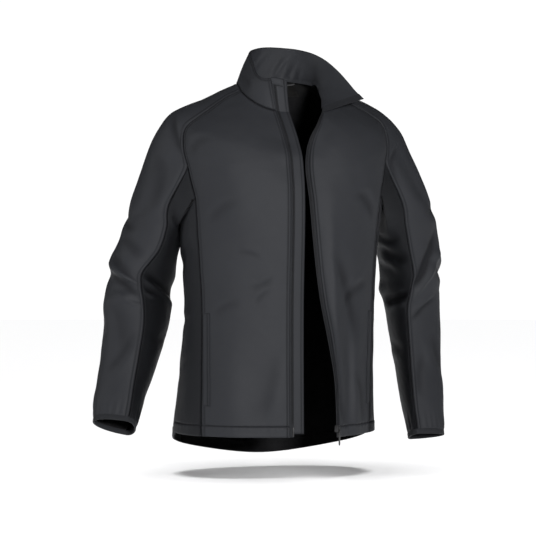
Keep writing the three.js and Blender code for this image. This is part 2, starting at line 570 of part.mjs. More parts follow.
// Closed body between two grids of the same size. The first is the outer one.
function closedGeometry(outer, inner) {
  const rows = outer.length;
  const columns = outer[0].length;
  const positions = [...outer.flat(), ...inner.flat()].flatMap((point) => point.toArray());
  const index = [];
  const at = (layer, i, j) => layer * rows * columns + i * columns + j;
  const quad = (a, b, c, d) => index.push(a, b, c, a, c, d);
  for (let i = 0; i < rows - 1; i += 1) {
    for (let j = 0; j < columns - 1; j += 1) {
      quad(at(0, i, j), at(0, i, j + 1), at(0, i + 1, j + 1), at(0, i + 1, j));
      quad(at(1, i, j), at(1, i + 1, j), at(1, i + 1, j + 1), at(1, i, j + 1));
    }
    quad(at(0, i, 0), at(0, i + 1, 0), at(1, i + 1, 0), at(1, i, 0));
    quad(at(0, i, columns - 1), at(1, i, columns - 1), at(1, i + 1, columns - 1), at(0, i + 1, columns - 1));
  }
  for (let j = 0; j < columns - 1; j += 1) {
    quad(at(0, 0, j), at(1, 0, j), at(1, 0, j + 1), at(0, 0, j + 1));
    quad(at(0, rows - 1, j), at(0, rows - 1, j + 1), at(1, rows - 1, j + 1), at(1, rows - 1, j));
  }
  const geometry = new THREE.BufferGeometry();
  geometry.setAttribute('position', new THREE.Float32BufferAttribute(positions, 3));
  geometry.setIndex(index);
  if (signedVolume(positions, index) < 0) geometry.setIndex(index.toReversed());
  return geometry;
}

function signedVolume(positions, index) {
  const corner = (k) => new THREE.Vector3(...positions.slice(3 * index[k], 3 * index[k] + 3));
  let volume = 0;
  for (let k = 0; k < index.length; k += 3) volume += corner(k).dot(corner(k + 1).cross(corner(k + 2)));
  return volume / 6;
}

// The model

const group = new THREE.Group();

function add(name, geometry, finish) {
  const mesh = new THREE.Mesh(geometry, new THREE.MeshStandardMaterial(FINISHES[finish]));
  mesh.name = name;
  group.add(mesh);
  return mesh;
}

function patch(points, flip) {
  return { points, normals: gridNormals(points, flip) };
}

// Normals face outwards: on the right side the columns run the other way round.
const fronts = { [RIGHT]: patch(frontGrid(RIGHT), false), [LEFT]: patch(frontGrid(LEFT), true) };
const sides = { [RIGHT]: patch(sideGrid(RIGHT), true), [LEFT]: patch(sideGrid(LEFT), false) };
const back = patch(backGrid(), true);
const outers = {
  [RIGHT]: patch(outerGrid(sleeves[RIGHT]), false), [LEFT]: patch(outerGrid(sleeves[LEFT]), true),
};
const unders = {
  [RIGHT]: patch(underGrid(sleeves[RIGHT]), true), [LEFT]: patch(underGrid(sleeves[LEFT]), false),
};
const neck = neckRow(
  { [RIGHT]: fronts[RIGHT].points, [LEFT]: fronts[LEFT].points },
  { [RIGHT]: outers[RIGHT].points, [LEFT]: outers[LEFT].points },
  back.points,
);
const collar = patch(collarGrid(neck), true);
const shell = [
  fronts[RIGHT], fronts[LEFT], sides[RIGHT], sides[LEFT], back, outers[RIGHT], outers[LEFT],
  unders[RIGHT], unders[LEFT], collar,
];
weldNormals(shell);

// The left front rolls over at the neck, where its wall faces halfway between the rows beside it.
const neckNormals = fronts[LEFT].normals.at(-1);
neckNormals.forEach((_, j) => {
  const column = collar.normals[0].length - neckNormals.length + j;
  const halfway = fronts[LEFT].normals.at(-2)[j].clone().add(collar.normals[1][column]).normalize();
  neckNormals[j].lerp(halfway, smoothStep(0.4, 0.8, FRONT_SHARES[j])).normalize();
  collar.normals[0][column] = neckNormals[j].clone();
});

// A sleeve ends square to its own line, so that its binding meets it face to face.
for (const side of [RIGHT, LEFT]) {
  for (const { points, normals } of [outers[side], unders[side]]) {
    points.at(-1).forEach((point, j) => {
      normals.at(-1)[j] = square(point.clone().sub(cuffCentre(side)), cuffAxis(side));
    });
  }
}

const hemDepth = (ups) => (i) => (ups[i] <= HEM_DEPTH ? HEM_CLOTH : CLOTH);
const frontDepth = (i, j) => (FRONT_SHARES[j] < TURNED_SHARE ? hemDepth(UPS)(i) : CLOTH);
const NAMES = { [RIGHT]: 'right', [LEFT]: 'left' };
for (const side of [RIGHT, LEFT]) {
  const name = NAMES[side];
  add(`front_${name}`, wallGeometry(fronts[side].points, fronts[side].normals, 0, frontDepth), 'shell');
  add(`side_${name}`, wallGeometry(sides[side].points, sides[side].normals, 0, hemDepth(LOW_UPS)), 'shell');
  add(`sleeve_outer_${name}`, wallGeometry(outers[side].points, outers[side].normals, 0, CLOTH), 'shell');
  add(`sleeve_under_${name}`, wallGeometry(unders[side].points, unders[side].normals, 0, CLOTH), 'shell');
}
add('back', wallGeometry(back.points, back.normals, 0, hemDepth(UPS)), 'shell');
const innerLeaf = [LEAF + LAYER_GAP, 2 * LEAF + LAYER_GAP];
add('collar_outer', wallGeometry(collar.points, collar.normals, 0, LEAF, COLLAR_TRIM), 'shell');
add('collar_inner', wallGeometry(collar.points, collar.normals, ...innerLeaf, COLLAR_TRIM), 'shell');

// Pocket welts lie on the fronts, beside the side front seams.
for (const side of [RIGHT, LEFT]) {
  const first = UPS.indexOf(WELT.bottom);
  const last = UPS.indexOf(WELT.top);
  const part = (rows) => rows.slice(first, last + 1).map((row) => row.slice(1, 3));
  const { points, normals } = fronts[side];
  const depths = [-LAYER_GAP - WELT.thick, -LAYER_GAP];
  add(`pocket_welt_${NAMES[side]}`, wallGeometry(part(points), part(normals), ...depths), 'shell');
}

// A point past a front edge. The right side's strips turn in across the chest, not forwards.
const TURNED_IN = 0.3;
function pastEdge(side, fold, edge, beyond) {
  const along = edge.clone().sub(fold);
  if (side === RIGHT) along.y *= TURNED_IN;
  return along.setLength(beyond).add(edge);
}

// A strip along a front edge from hem to collar top, from under the turned edge to past it.
function edgeStrip(side, beyond, firstRow) {
  const collarEdge = side === RIGHT ? [1, 0] : [-2, -1];
  const columns = (row, [fold, edge]) => [row.at(fold), row.at(edge)];
  const pick = (frontRows, collarRows) => [
    ...frontRows.slice(firstRow).map((row) => columns(row, [-2, -1])),
    ...collarRows.slice(1).map((row) => columns(row, collarEdge)),
  ];
  const normals = pick(fronts[side].normals, collar.normals)
    .map(([fold, edge]) => [fold, edge, ...beyond.map(() => edge)]);
  const points = pick(fronts[side].points, collar.points)
    .map(([fold, edge]) => [fold, edge, ...beyond.map((past) => pastEdge(side, fold, edge, past))]);
  return { points, normals };
}

// How far behind the outer face a layer lies: it goes behind both leaves once it is past the neck.
function layerDepths(neckRowIndex, before, thick) {
  const collarDepth = 2 * LEAF + LAYER_GAP;
  const carried = (i) => (i < neckRowIndex ? CLOTH : collarDepth);
  const at = (i) => (carried(i) + carried(i + 1)) / 2 + LAYER_GAP + before;
  return [at, (i) => at(i) + thick];
}

for (const side of [RIGHT, LEFT]) {
  const { points, normals } = edgeStrip(side, [TAPE_BEYOND], 0);
  const depths = layerDepths(UPS.length - 1, 0, TAPE);
  add(`zip_tape_${NAMES[side]}`, wallGeometry(points, normals, ...depths), 'tape');
}
const flap = edgeStrip(RIGHT, [TAPE_BEYOND, FLAP_BEYOND], 1);
const flapDepths = layerDepths(UPS.length - 2, TAPE + LAYER_GAP, FLAP);
add('wind_flap', wallGeometry(flap.points, flap.normals, ...flapDepths), 'shell');

// Chin guard: the flap's end turned over the top of the zip. Each profile point is a depth behind
// the collar's outer face and a height over its top edge.
const CHIN_OUTSIDE = [[1.2, -11], [1.2, -3], [2, 1.8], [4.2, 3], [7.8, 2.6], [9.4, -0.5], [9.4, -6]];
const CHIN_INSIDE = [[2.3, -11], [2.3, -3], [2.7, 1.1], [4.6, 2], [7.2, 1.7], [8.2, -0.6], [8.2, -6]];
function chinGrid(profile) {
  const [edge, fold] = collar.points.at(-1);
  const below = collar.points.at(-2)[0];
  const normal = collar.normals.at(-1)[0];
  const rise = edge.clone().sub(below).normalize();
  return profile.map(([depth, height]) => spread(CHIN.columns, CHIN.from, CHIN.to).map((past) => (
    pastEdge(RIGHT, fold, edge, past).addScaledVector(normal, -depth).addScaledVector(rise, height)
  )));
}
add('chin_guard', closedGeometry(chinGrid(CHIN_OUTSIDE), chinGrid(CHIN_INSIDE)), 'shell');

// Closed band through loops of points, one loop for each corner of its section.
function bandGeometry(loops) {
  const count = loops[0].length;
  const positions = loops.flat().flatMap((point) => point.toArray());
  const index = [];
  loops.forEach((_, k) => {
    const next = (k + 1) % loops.length;
    for (let j = 0; j < count; j += 1) {
      const [a, b] = [k * count + j, k * count + (j + 1) % count];
      const [c, d] = [next * count + (j + 1) % count, next * count + j];
      index.push(a, b, c, a, c, d);
    }
  });
  const geometry = new THREE.BufferGeometry();
  geometry.setAttribute('position', new THREE.Float32BufferAttribute(positions, 3));
  geometry.setIndex(signedVolume(positions, index) < 0 ? index.toReversed() : index);
  return geometry;
}

// Elastic cuff binding: it carries on from the sleeve's end, a little tighter than the cloth.
function cuffBinding(side) {
  const sleeve = sleeves[side];
  const over = spread(OUTER_COLUMNS, 0, 1).map((across) => sleeve.outer(across, sleeve.end));
  const underShares = spread(unders[side].points[0].length - 1, 1, 0).slice(1, -1);
  const below = underShares.map((across) => sleeve.plainUnder(across, sleeve.end));
  const rim = [...over, ...below];
  const axis = cuffAxis(side);
  const loop = (outwards, along) => rim.map((point) => {
    const away = square(point.clone().sub(cuffCentre(side)), axis);
    return point.clone().addScaledVector(away, outwards).addScaledVector(axis, along);
  });
  const { thick, deep, proud, corner, cornerDeep } = BINDING;
  const inside = proud - thick;
  return bandGeometry([
    loop(proud, SEAM_GAP), loop(proud, deep - cornerDeep), loop(proud - corner, deep),
    loop(inside + corner, deep), loop(inside, deep - cornerDeep), loop(inside, SEAM_GAP),
  ]);
}
add('cuff_binding_right', cuffBinding(RIGHT), 'binding');
add('cuff_binding_left', cuffBinding(LEFT), 'binding');

// Hanger loop and blank label inside the back neck
function napeGrid(ups, spreadAngle, columns) {
  return ups.map((up) => spread(columns, 1, -1).map((k) => {
    const height = typeof up === 'function' ? up(k) : up;
    return bodyPoint(LEFT, NAPE_ANGLE + k * spreadAngle, SHOULDER_UPS.at(-1) + height);
  }));
}
function napePiece(points, { depth, thick }) {
  return wallGeometry(points, gridNormals(points, false), depth, depth + thick, 0);
}
const sagging = (offset) => (k) => -LOOP.below - offset - LOOP.drop * (1 - k ** 4);
const loopGrid = napeGrid([sagging(LOOP.tall), sagging(0)], LOOP.spread, LOOP.columns);
add('hanger_loop', napePiece(loopGrid, LOOP), 'binding');
const labelUps = [LABEL.above, (LABEL.above + LABEL.below) / 2, LABEL.below];
add('neck_label', napePiece(napeGrid(labelUps, LABEL.spread, LABEL.columns), LABEL), 'label');

// Zip slider on the left tape near the hem, in its own frame: x past the edge, y outwards, z up
const leftEdge = (up) => frontPoint(LEFT, 1, up);
const sliderUp = new THREE.Vector3(0, 0, 1);
const sliderAlong = leftEdge(SLIDER.up).sub(frontPoint(LEFT, FOLD_BACK, SLIDER.up)).setZ(0).normalize();
const sliderOut = sliderUp.clone().cross(sliderAlong);
const sliderPlace = new THREE.Matrix4()
  .makeBasis(sliderAlong, sliderOut, sliderUp).setPosition(leftEdge(SLIDER.up));

const outline = (points) => new THREE.Shape(points.map(([x, y]) => new THREE.Vector2(x, y)));
const extrude = (shape, depth) => (
  new THREE.ExtrudeGeometry(shape, { depth, bevelEnabled: false, curveSegments: 5 })
);

const wasm = await Module();
wasm.setup();

function toSolid(geometry) {
  const plain = geometry.clone();
  plain.deleteAttribute('normal');
  plain.deleteAttribute('uv');
  const merged = mergeVertices(plain);
  const vertProperties = new Float32Array(merged.attributes.position.array);
  const triVerts = new Uint32Array(merged.index.array);
  return new wasm.Manifold(new wasm.Mesh({ numProp: 3, vertProperties, triVerts }));
}

function joined(...geometries) {
  const mesh = geometries.map(toSolid).reduce((sum, solid) => sum.add(solid)).getMesh();
  const geometry = new THREE.BufferGeometry();
  geometry.setAttribute('position', new THREE.Float32BufferAttribute(mesh.vertProperties, 3));
  geometry.setIndex([...mesh.triVerts]);
  return geometry;
}

// The slider's two plates hold the tape between them and join past its edge.
function sliderBody() {
  const { from, to, tall, front, back: behind, slotTo, slotFront, slotBack, corner } = SLIDER;
  const section = outline([
    [from + corner, behind], [to - corner, behind], [to, behind + corner],
    [to, front - corner], [to - corner, front], [from + corner, front],
    [from, front - corner], [from, slotFront], [slotTo, slotFront],
    [slotTo, slotBack], [from, slotBack], [from, behind + corner],
  ]);
  return extrude(section, tall).translate(0, 0, -tall / 2);
}

function sliderBridge() {
  const { wide, low, high, post, bar, clear, corner, sunk } = BRIDGE;
  const foot = SLIDER.front - sunk;
  const section = outline([
    [foot, low], [clear + bar - corner, low], [clear + bar, low + corner],
    [clear + bar, high - corner], [clear + bar - corner, high], [foot, high],
    [foot, high - post], [clear, high - post], [clear, low + post], [foot, low + post],
  ]);
  const turn = new THREE.Matrix4().makeBasis(
    new THREE.Vector3(0, 1, 0), new THREE.Vector3(0, 0, 1), new THREE.Vector3(1, 0, 0),
  );
  return extrude(section, wide).applyMatrix4(turn).translate(pullMiddle - wide / 2, 0, 0);
}
const pullMiddle = (SLIDER.from + SLIDER.to) / 2;
add('zip_slider', joined(sliderBody(), sliderBridge()).applyMatrix4(sliderPlace), 'metal');

// Pull tab, hanging from the bridge by the crossbar above its eye
function pullTab() {
  const { wide, tip, long, thick, top, eye, eyeFrom, eyeTo, corner, tipCorner, tipTall, waist } = PULL;
  const end = top - long;
  const shape = outline([
    [-wide / 2, top - corner], [-wide / 2, eyeTo - waist], [-tip / 2, end + tipTall],
    [-tip / 2 + tipCorner, end], [tip / 2 - tipCorner, end], [tip / 2, end + tipTall],
    [wide / 2, eyeTo - waist], [wide / 2, top - corner], [wide / 2 - corner, top],
    [-wide / 2 + corner, top],
  ]);
  shape.holes.push(new THREE.Path([[-1, eyeFrom], [1, eyeFrom], [1, eyeTo], [-1, eyeTo]]
    .map(([side, up]) => new THREE.Vector2(side * eye / 2, up))));
  const turn = new THREE.Matrix4().makeBasis(
    new THREE.Vector3(1, 0, 0), new THREE.Vector3(0, 0, 1), new THREE.Vector3(0, -1, 0),
  );
  return extrude(shape, thick).applyMatrix4(turn).translate(pullMiddle, HINGE_OUT + thick / 2, 0);
}
add('zip_pull', pullTab().applyMatrix4(sliderPlace), 'metal');

// Retaining box under the slider, and the pin on the right tape that goes into it
function zipStop(side, { from, to, low, high }) {
  const edge = frontPoint(side, 1, low);
  const along = edge.clone().sub(frontPoint(side, FOLD_BACK, low)).setZ(0).normalize();
  const out = new THREE.Vector3(0, 0, 1).cross(along).multiplyScalar(side === LEFT ? 1 : -1);
  const upwards = new THREE.Vector3(0, 0, side === LEFT ? 1 : -1);
  const place = new THREE.Matrix4().makeBasis(along, out, upwards);
  const behind = -CLOTH - LAYER_GAP;
  const before = behind + STOP_THICK;
  const section = outline([[from, behind], [to, behind], [to, before], [from, before]]);
  const tall = high - low;
  return extrude(section, tall).translate(0, 0, side === LEFT ? 0 : -tall)
    .applyMatrix4(place.setPosition(edge));
}
add('zip_box', zipStop(LEFT, BOX), 'metal');
add('zip_pin', zipStop(RIGHT, PIN), 'metal');

export default group;
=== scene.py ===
"""Looks of the softshell jacket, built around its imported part.

Lengths in the tables are millimetres, as in the part; meshes are written in metres. "up" is the
length from the hem along the side front seam and "at" the length from the neck down a sleeve.
"""

import itertools
import logging
import math
from dataclasses import dataclass, field
from enum import Enum
from typing import Any, Callable, NamedTuple

import bmesh
import bpy
import numpy as np
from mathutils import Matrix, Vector


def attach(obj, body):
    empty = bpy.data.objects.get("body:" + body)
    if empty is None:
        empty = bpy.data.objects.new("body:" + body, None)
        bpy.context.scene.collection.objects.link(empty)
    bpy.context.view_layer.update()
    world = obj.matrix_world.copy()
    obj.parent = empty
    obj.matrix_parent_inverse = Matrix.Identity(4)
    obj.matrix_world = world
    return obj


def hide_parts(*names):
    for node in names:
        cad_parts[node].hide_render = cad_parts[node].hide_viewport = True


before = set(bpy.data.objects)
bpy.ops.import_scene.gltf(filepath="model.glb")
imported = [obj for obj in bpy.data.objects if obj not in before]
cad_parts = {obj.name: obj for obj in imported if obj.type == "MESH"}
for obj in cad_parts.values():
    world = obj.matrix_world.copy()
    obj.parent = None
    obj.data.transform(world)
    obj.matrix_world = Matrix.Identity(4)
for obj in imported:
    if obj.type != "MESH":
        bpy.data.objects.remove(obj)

Array = np.ndarray
Surface = Callable[[Array, Array], Array]

MM = 0.001
GARMENT = "garment"
PULL = "pull"
LOG = logging.getLogger("jacket")


class Side(Enum):
    """The wearer's side; the value is the sign of X there."""

    RIGHT = -1
    LEFT = 1

    @property
    def word(self) -> str:
        """The side's name as the part's nodes have it."""
        return self.name.lower()


class Edge(Enum):
    """The four edges of a panel: its first and last column, and its first and last row."""

    START = 0
    END = 1
    LOW = 2
    HIGH = 3


class Slot(Enum):
    """Material slots of the record."""

    SHELL = "shell"
    TAPE = "tape"
    BINDING = "binding"
    LABEL = "label"
    METAL = "metal"


# Tables of the garment's form, as in the part


def table(kind: type, *values: tuple) -> tuple:
    """Rows of a table, each made into its kind."""
    return tuple(kind(*value) for value in values)


class Ring(NamedTuple):
    """Ring of the body: half widths, depths, heights at front, side and back, and roll."""

    up: float
    right: float
    left: float
    front: float
    back: float
    z_front: float
    z_side: float
    z_back: float
    roll: float


BODY_RINGS = table(
    Ring, (0, 213, 196, 130, 130, -692, -687, -743, 0), (110, 201, 192, 129, 129, -581, -579, -612, 0),
    (245, 189, 195, 128, 128, -447, -447, -458, 0.01),
    (360, 195, 201, 133, 130, -334, -332, -336, 0.02),
    (463, 204, 214, 138, 130, -232, -222, -229, 0.025),
    (493, 207, 217, 138, 130, -213, -187, -196, 0.03),
    (528, 210, 220, 137, 129, -194, -149, -160, 0.035),
    (566, 212, 222, 134, 127, -175, -113, -124, 0.035),
    (608, 203, 211, 127, 122, -149, -74.5, -84, 0.035),
    (644, 176, 182, 120, 115, -130, -48, -55, 0.035), (678, 148, 151, 110, 104, -112, -27, -29, 0.035),
    (716, 115, 116, 97, 89, -88, -10, -3, 0.035), (750, 83.5, 83.5, 80, 71, -55, 0, 18, 0.035),
)


class SeamAngles(NamedTuple):
    """Angles of the side front and side back seams from straight ahead, in degrees."""

    up: float
    front: float
    back: float


BODY_SEAMS = table(
    SeamAngles, (0, 65, 113), (110, 67, 112), (245, 69.5, 111), (360, 69.8, 111), (463, 69.8, 111),
    (493, 71.9, 109), (528, 74, 107), (566, 77.1, 104), (608, 79.3, 102), (644, 77.7, 103),
    (678, 76.4, 104), (716, 76.6, 105), (750, 76.3, 106),
)


class EdgePoint(NamedTuple):
    """Where a turned front edge lies with the zip open."""

    up: float
    x: float
    y: float


FRONT_EDGES = {
    Side.RIGHT: table(
        EdgePoint, (0, -11.5, -131), (245, -11.5, -129), (463, -11.5, -139), (608, -13, -128),
        (678, -16, -110), (716, -20, -98), (750, -26, -79),
    ),
    Side.LEFT: table(
        EdgePoint, (0, 83, -150), (112, 79, -150), (190, 68, -147), (266, 55, -142), (345, 46, -138),
        (463, 36, -133), (528, 32, -128), (590, 31, -122), (644, 36, -114), (678, 42.5, -109),
        (706, 50.5, -105.5), (728, 60.5, -98.5), (750, 70, -84),
    ),
}


class FrontFold(NamedTuple):
    """Large soft fold of a front: middle and sizes as shares of the width and mm, and lift."""

    at: float
    up: float
    wide: float
    long: float
    lift: float


FRONT_FOLDS = {
    Side.RIGHT: table(
        FrontFold, (0.30, 90, 0.16, 120, 4), (0.62, 60, 0.14, 90, -2.5),
    ),
    Side.LEFT: table(
        FrontFold, (0.72, 290, 0.10, 130, 5), (0.50, 150, 0.12, 150, -6), (0.30, 90, 0.13, 130, 7),
        (0.80, 40, 0.12, 90, -2),
    ),
}


class StrapRow(NamedTuple):
    """Crown of the shoulder strap and how round the strap is there."""

    at: float
    crown: tuple[float, float, float]
    round: float


STRAPS = {
    Side.RIGHT: table(
        StrapRow, (0, (-83, 3, 2), 0), (34, (-116, 3, -13), 0.1), (72, (-149, 4, -28), 0.25),
        (106, (-181, 6, -40.5), 0.45), (142, (-219, 9, -61), 0.7), (184, (-247, 14, -100), 0.9),
        (222, (-265, 20, -146), 1),
    ),
    Side.LEFT: table(
        StrapRow, (0, (83, 3, 6), 0), (34, (117, 3, -3), 0.1), (72, (152, 4, -17), 0.25),
        (106, (186, 6, -30), 0.45), (142, (223, 9, -50), 0.7), (184, (257, 12, -84), 0.9),
        (222, (281, 16, -130), 1),
    ),
}


class SleeveRing(NamedTuple):
    """Ring of a sleeve: middle, half sizes, seam angles and droop under the armhole."""

    at: float
    centre: tuple[float, float, float]
    wide: float
    deep: float
    seam_front: float
    seam_back: float
    droop: float


SLEEVES = {
    Side.RIGHT: table(
        SleeveRing, (262, (-248, 28, -222), 41, 76, 24, 30, 42),
        (312, (-249, 40, -268), 50, 74, 18, 30, 22), (362, (-255, 50, -316), 59, 71, 8, 30, 7),
        (415, (-264, 58, -368), 67, 68, -12, 32, 0), (447, (-271, 60, -400), 64, 67, -8, 34, 0),
        (494, (-275, 56, -447), 68, 66, 0, 34, 0), (540, (-283, 46, -492), 62, 63, 6, 36, 0),
        (600, (-299, 29, -548), 56, 58, 12, 38, 0), (655, (-316, 11, -600), 50, 53, 20, 40, 0),
        (695, (-327, -5, -634), 48, 49, 26, 40, 0), (731, (-335, -21, -664), 42, 39, 30, 40, 0),
    ),
    Side.LEFT: table(
        SleeveRing, (262, (267, 26, -208), 51, 75, 24, 30, 50),
        (312, (279, 38, -258), 60, 74, 20, 30, 28), (362, (291, 50, -311), 62, 71, 18, 30, 9),
        (415, (299, 58, -368), 58, 68, 15, 32, 0), (447, (301, 60, -400), 58, 67, 20, 34, 0),
        (494, (306, 58, -447), 56, 66, 34, 34, 0), (540, (308, 50, -492), 53, 63, 38, 36, 0),
        (600, (309, 36, -550), 48, 58, 42, 38, 0), (660, (310, 19, -608), 46, 53, 45, 40, 0),
        (705, (310, 6, -651), 42, 49, 47, 40, 0), (752, (311, -7, -697), 37, 41, 48, 40, 0),
    ),
}


class SleeveFold(NamedTuple):
    """Large fold of a sleeve: place, sizes, slant in degrees and lift."""

    across: float
    at: float
    wide: float
    long: float
    turn: float
    lift: float


SLEEVE_FOLDS = {
    Side.RIGHT: table(
        SleeveFold, (0.22, 424, 11, 60, -22, 7), (0.30, 452, 13, 62, -30, -6),
        (0.12, 474, 12, 46, 16, 5), (0.72, 436, 14, 60, 18, -6), (0.80, 398, 14, 55, 10, 4),
        (0.20, 250, 14, 60, 62, -5),
    ),
    Side.LEFT: table(
        SleeveFold, (0.42, 424, 11, 62, 42, -7), (0.34, 398, 12, 56, 36, 6), (0.50, 462, 12, 50, 30, 5),
        (0.74, 440, 14, 60, -16, -6), (0.24, 256, 14, 60, 66, -5),
    ),
}


class CollarRow(NamedTuple):
    """Top edge of the collar at a share of the neck seam, 0 at the back, and its bow."""

    at: float
    top: tuple[float, float, float]
    bow: float


COLLAR_TOPS = {
    Side.RIGHT: table(
        CollarRow, (0, (0, 60, 84), 2), (0.14, (-22, 56, 82), 2), (0.30, (-43, 43, 76), 2),
        (0.43, (-54, 22, 68), 2), (0.55, (-57, -2, 54), 3), (0.67, (-58, -27, 37), 4),
        (0.78, (-58, -49, 20), 5), (0.89, (-52, -70, 9), 3), (1, (-39, -85, 6), 1),
    ),
    Side.LEFT: table(
        CollarRow, (0, (0, 60, 84), 2), (0.14, (26, 59, 83), 2), (0.30, (56, 48, 79), 2),
        (0.43, (82, 27, 69), 0), (0.55, (101, 4, 53), -3), (0.67, (116, -22, 32), -5),
        (0.78, (129, -45, 9), -6), (0.89, (140, -66, -13), -5), (1, (149, -80, -27), -2),
    ),
}

# Sizes of the form
RING_POWER = 2.3
SHOULDER_POWER = 1.2
TAIL_POWER = 0.75
TAIL_TOP = 245
OPENING_POWER = 1.6
EDGE_ANGLE = 5
ARMPIT_DIP = 24
ARMPIT_POWER = 1.5
ARMHOLE_STEPS = (4, 6)     # equal steps down a seam and under the arm
ARMHOLE_AT = 222
ARMPIT_FADE = 110
NECK_UP = 750
ARMHOLE_LOW = 463
ARMHOLE_HIGH = 528
TAPE_START = 0.965
TAPE_BEYOND = 8.5
TAPE_BEHIND = 7.5
FLAP_BEYOND = 29
HEM_DEPTH = 22
WELT_SHARES = (0.02, 0.088)
WELT_UPS = (58, 242)
FOLD_FADE = 0.12           # share of a panel's width in which its large folds fade

# Rough widths of the panels, for the number of their columns
FRONT_WIDTH = 232
SIDE_WIDTH = 165
BACK_WIDTH = 400
OUTER_WIDTH = 190
UNDER_WIDTH = 250
COLLAR_TALL = 64
WELT_WIDTH = 14.5


# Curves and small formulas


class Track:
    """Smooth curve through the rows of a table: each stretch is a cubic with its ends' slopes."""

    def __init__(self, knots: Any, values: Any) -> None:
        """Keeps the knots and the values, with slopes taken across the neighbouring knots.

        Args:
            knots: Places of the rows, rising.
            values: A number or a point for each of them.
        """
        self.knots = np.asarray(knots, float)
        self.values = np.asarray(values, float)
        last = len(self.knots) - 1
        index = np.arange(last + 1)
        before, after = np.maximum(index - 1, 0), np.minimum(index + 1, last)
        span = self.knots[after] - self.knots[before]
        rise = self.values[after] - self.values[before]
        self.slopes = (rise.T / span).T

    def __call__(self, x: Any) -> Array:
        """The curve's values at x, with one more axis where the values are points.

        Args:
            x: Places on the knots' scale.

        Returns:
            A value or a point for each place.
        """
        x = np.asarray(x, float)
        i = np.searchsorted(self.knots[1:-1], x, side="left")
        span = self.knots[i + 1] - self.knots[i]
        t = (x - self.knots[i]) / span
        parts = (t * t * (3 - 2 * t), t * (1 - t) ** 2 * span, t * t * (t - 1) * span)
        if self.values.ndim > 1:
            parts = tuple(part[..., None] for part in parts)
        start, end = self.values[i], self.values[i + 1]
        straight = start + (end - start) * parts[0]
        return straight + self.slopes[i] * parts[1] + self.slopes[i + 1] * parts[2]


def column(rows: tuple, knot: str, name: str) -> Track:
    """Track through one named column of a table, by another column."""
    return Track([getattr(row, knot) for row in rows], [getattr(row, name) for row in rows])


def paired(first: Any, second: Any) -> list[Array]:
    """Two values as arrays of numbers of one shape."""
    return np.broadcast_arrays(np.asarray(first, float), np.asarray(second, float))


def smooth_step(start: float, end: float, x: Any) -> Array:
    """0 before start, 1 after end, and a smooth step between; start may be the larger one."""
    t = np.clip((np.asarray(x, float) - start) / (end - start), 0, 1)
    return t * t * (3 - 2 * t)


def hump(x: Any, middle: Any, width: float) -> Array:
    """Bell curve: 1 at the middle and 1/e one width away from it."""
    return np.exp(-(((np.asarray(x, float) - middle) / width) ** 2))


def unit(vectors: Array) -> Array:
    """The vectors at length one."""
    return vectors / np.maximum(np.linalg.norm(vectors, axis=-1, keepdims=True), 1e-9)


def point(x: Any, y: Any, z: Any) -> Array:
    """Points from three arrays of coordinates."""
    return np.stack(np.broadcast_arrays(x, y, z), axis=-1).astype(float)


def arch(start: Array, crown: Array, end: Array, roundness: Array, across: Array) -> Array:
    """Curve from start to end over a crown: a parabola where roundness is 0, half an ellipse at 1.

    Args:
        start: Points that the curves start from.
        crown: Their highest points.
        end: Points they end at.
        roundness: 0 for a parabola, 1 for half an ellipse.
        across: Place along the curve, -1 to 1.

    Returns:
        Points.
    """
    r = np.asarray(roundness)
    bent = (1 - r) * across + r * np.sin(np.pi * across / 2)
    rise = (1 - r) * (1 - across**2) + r * np.cos(np.pi * across / 2)
    middle, half = (start + end) / 2, (end - start) / 2
    return middle + half * bent[..., None] + (crown - middle) * rise[..., None]


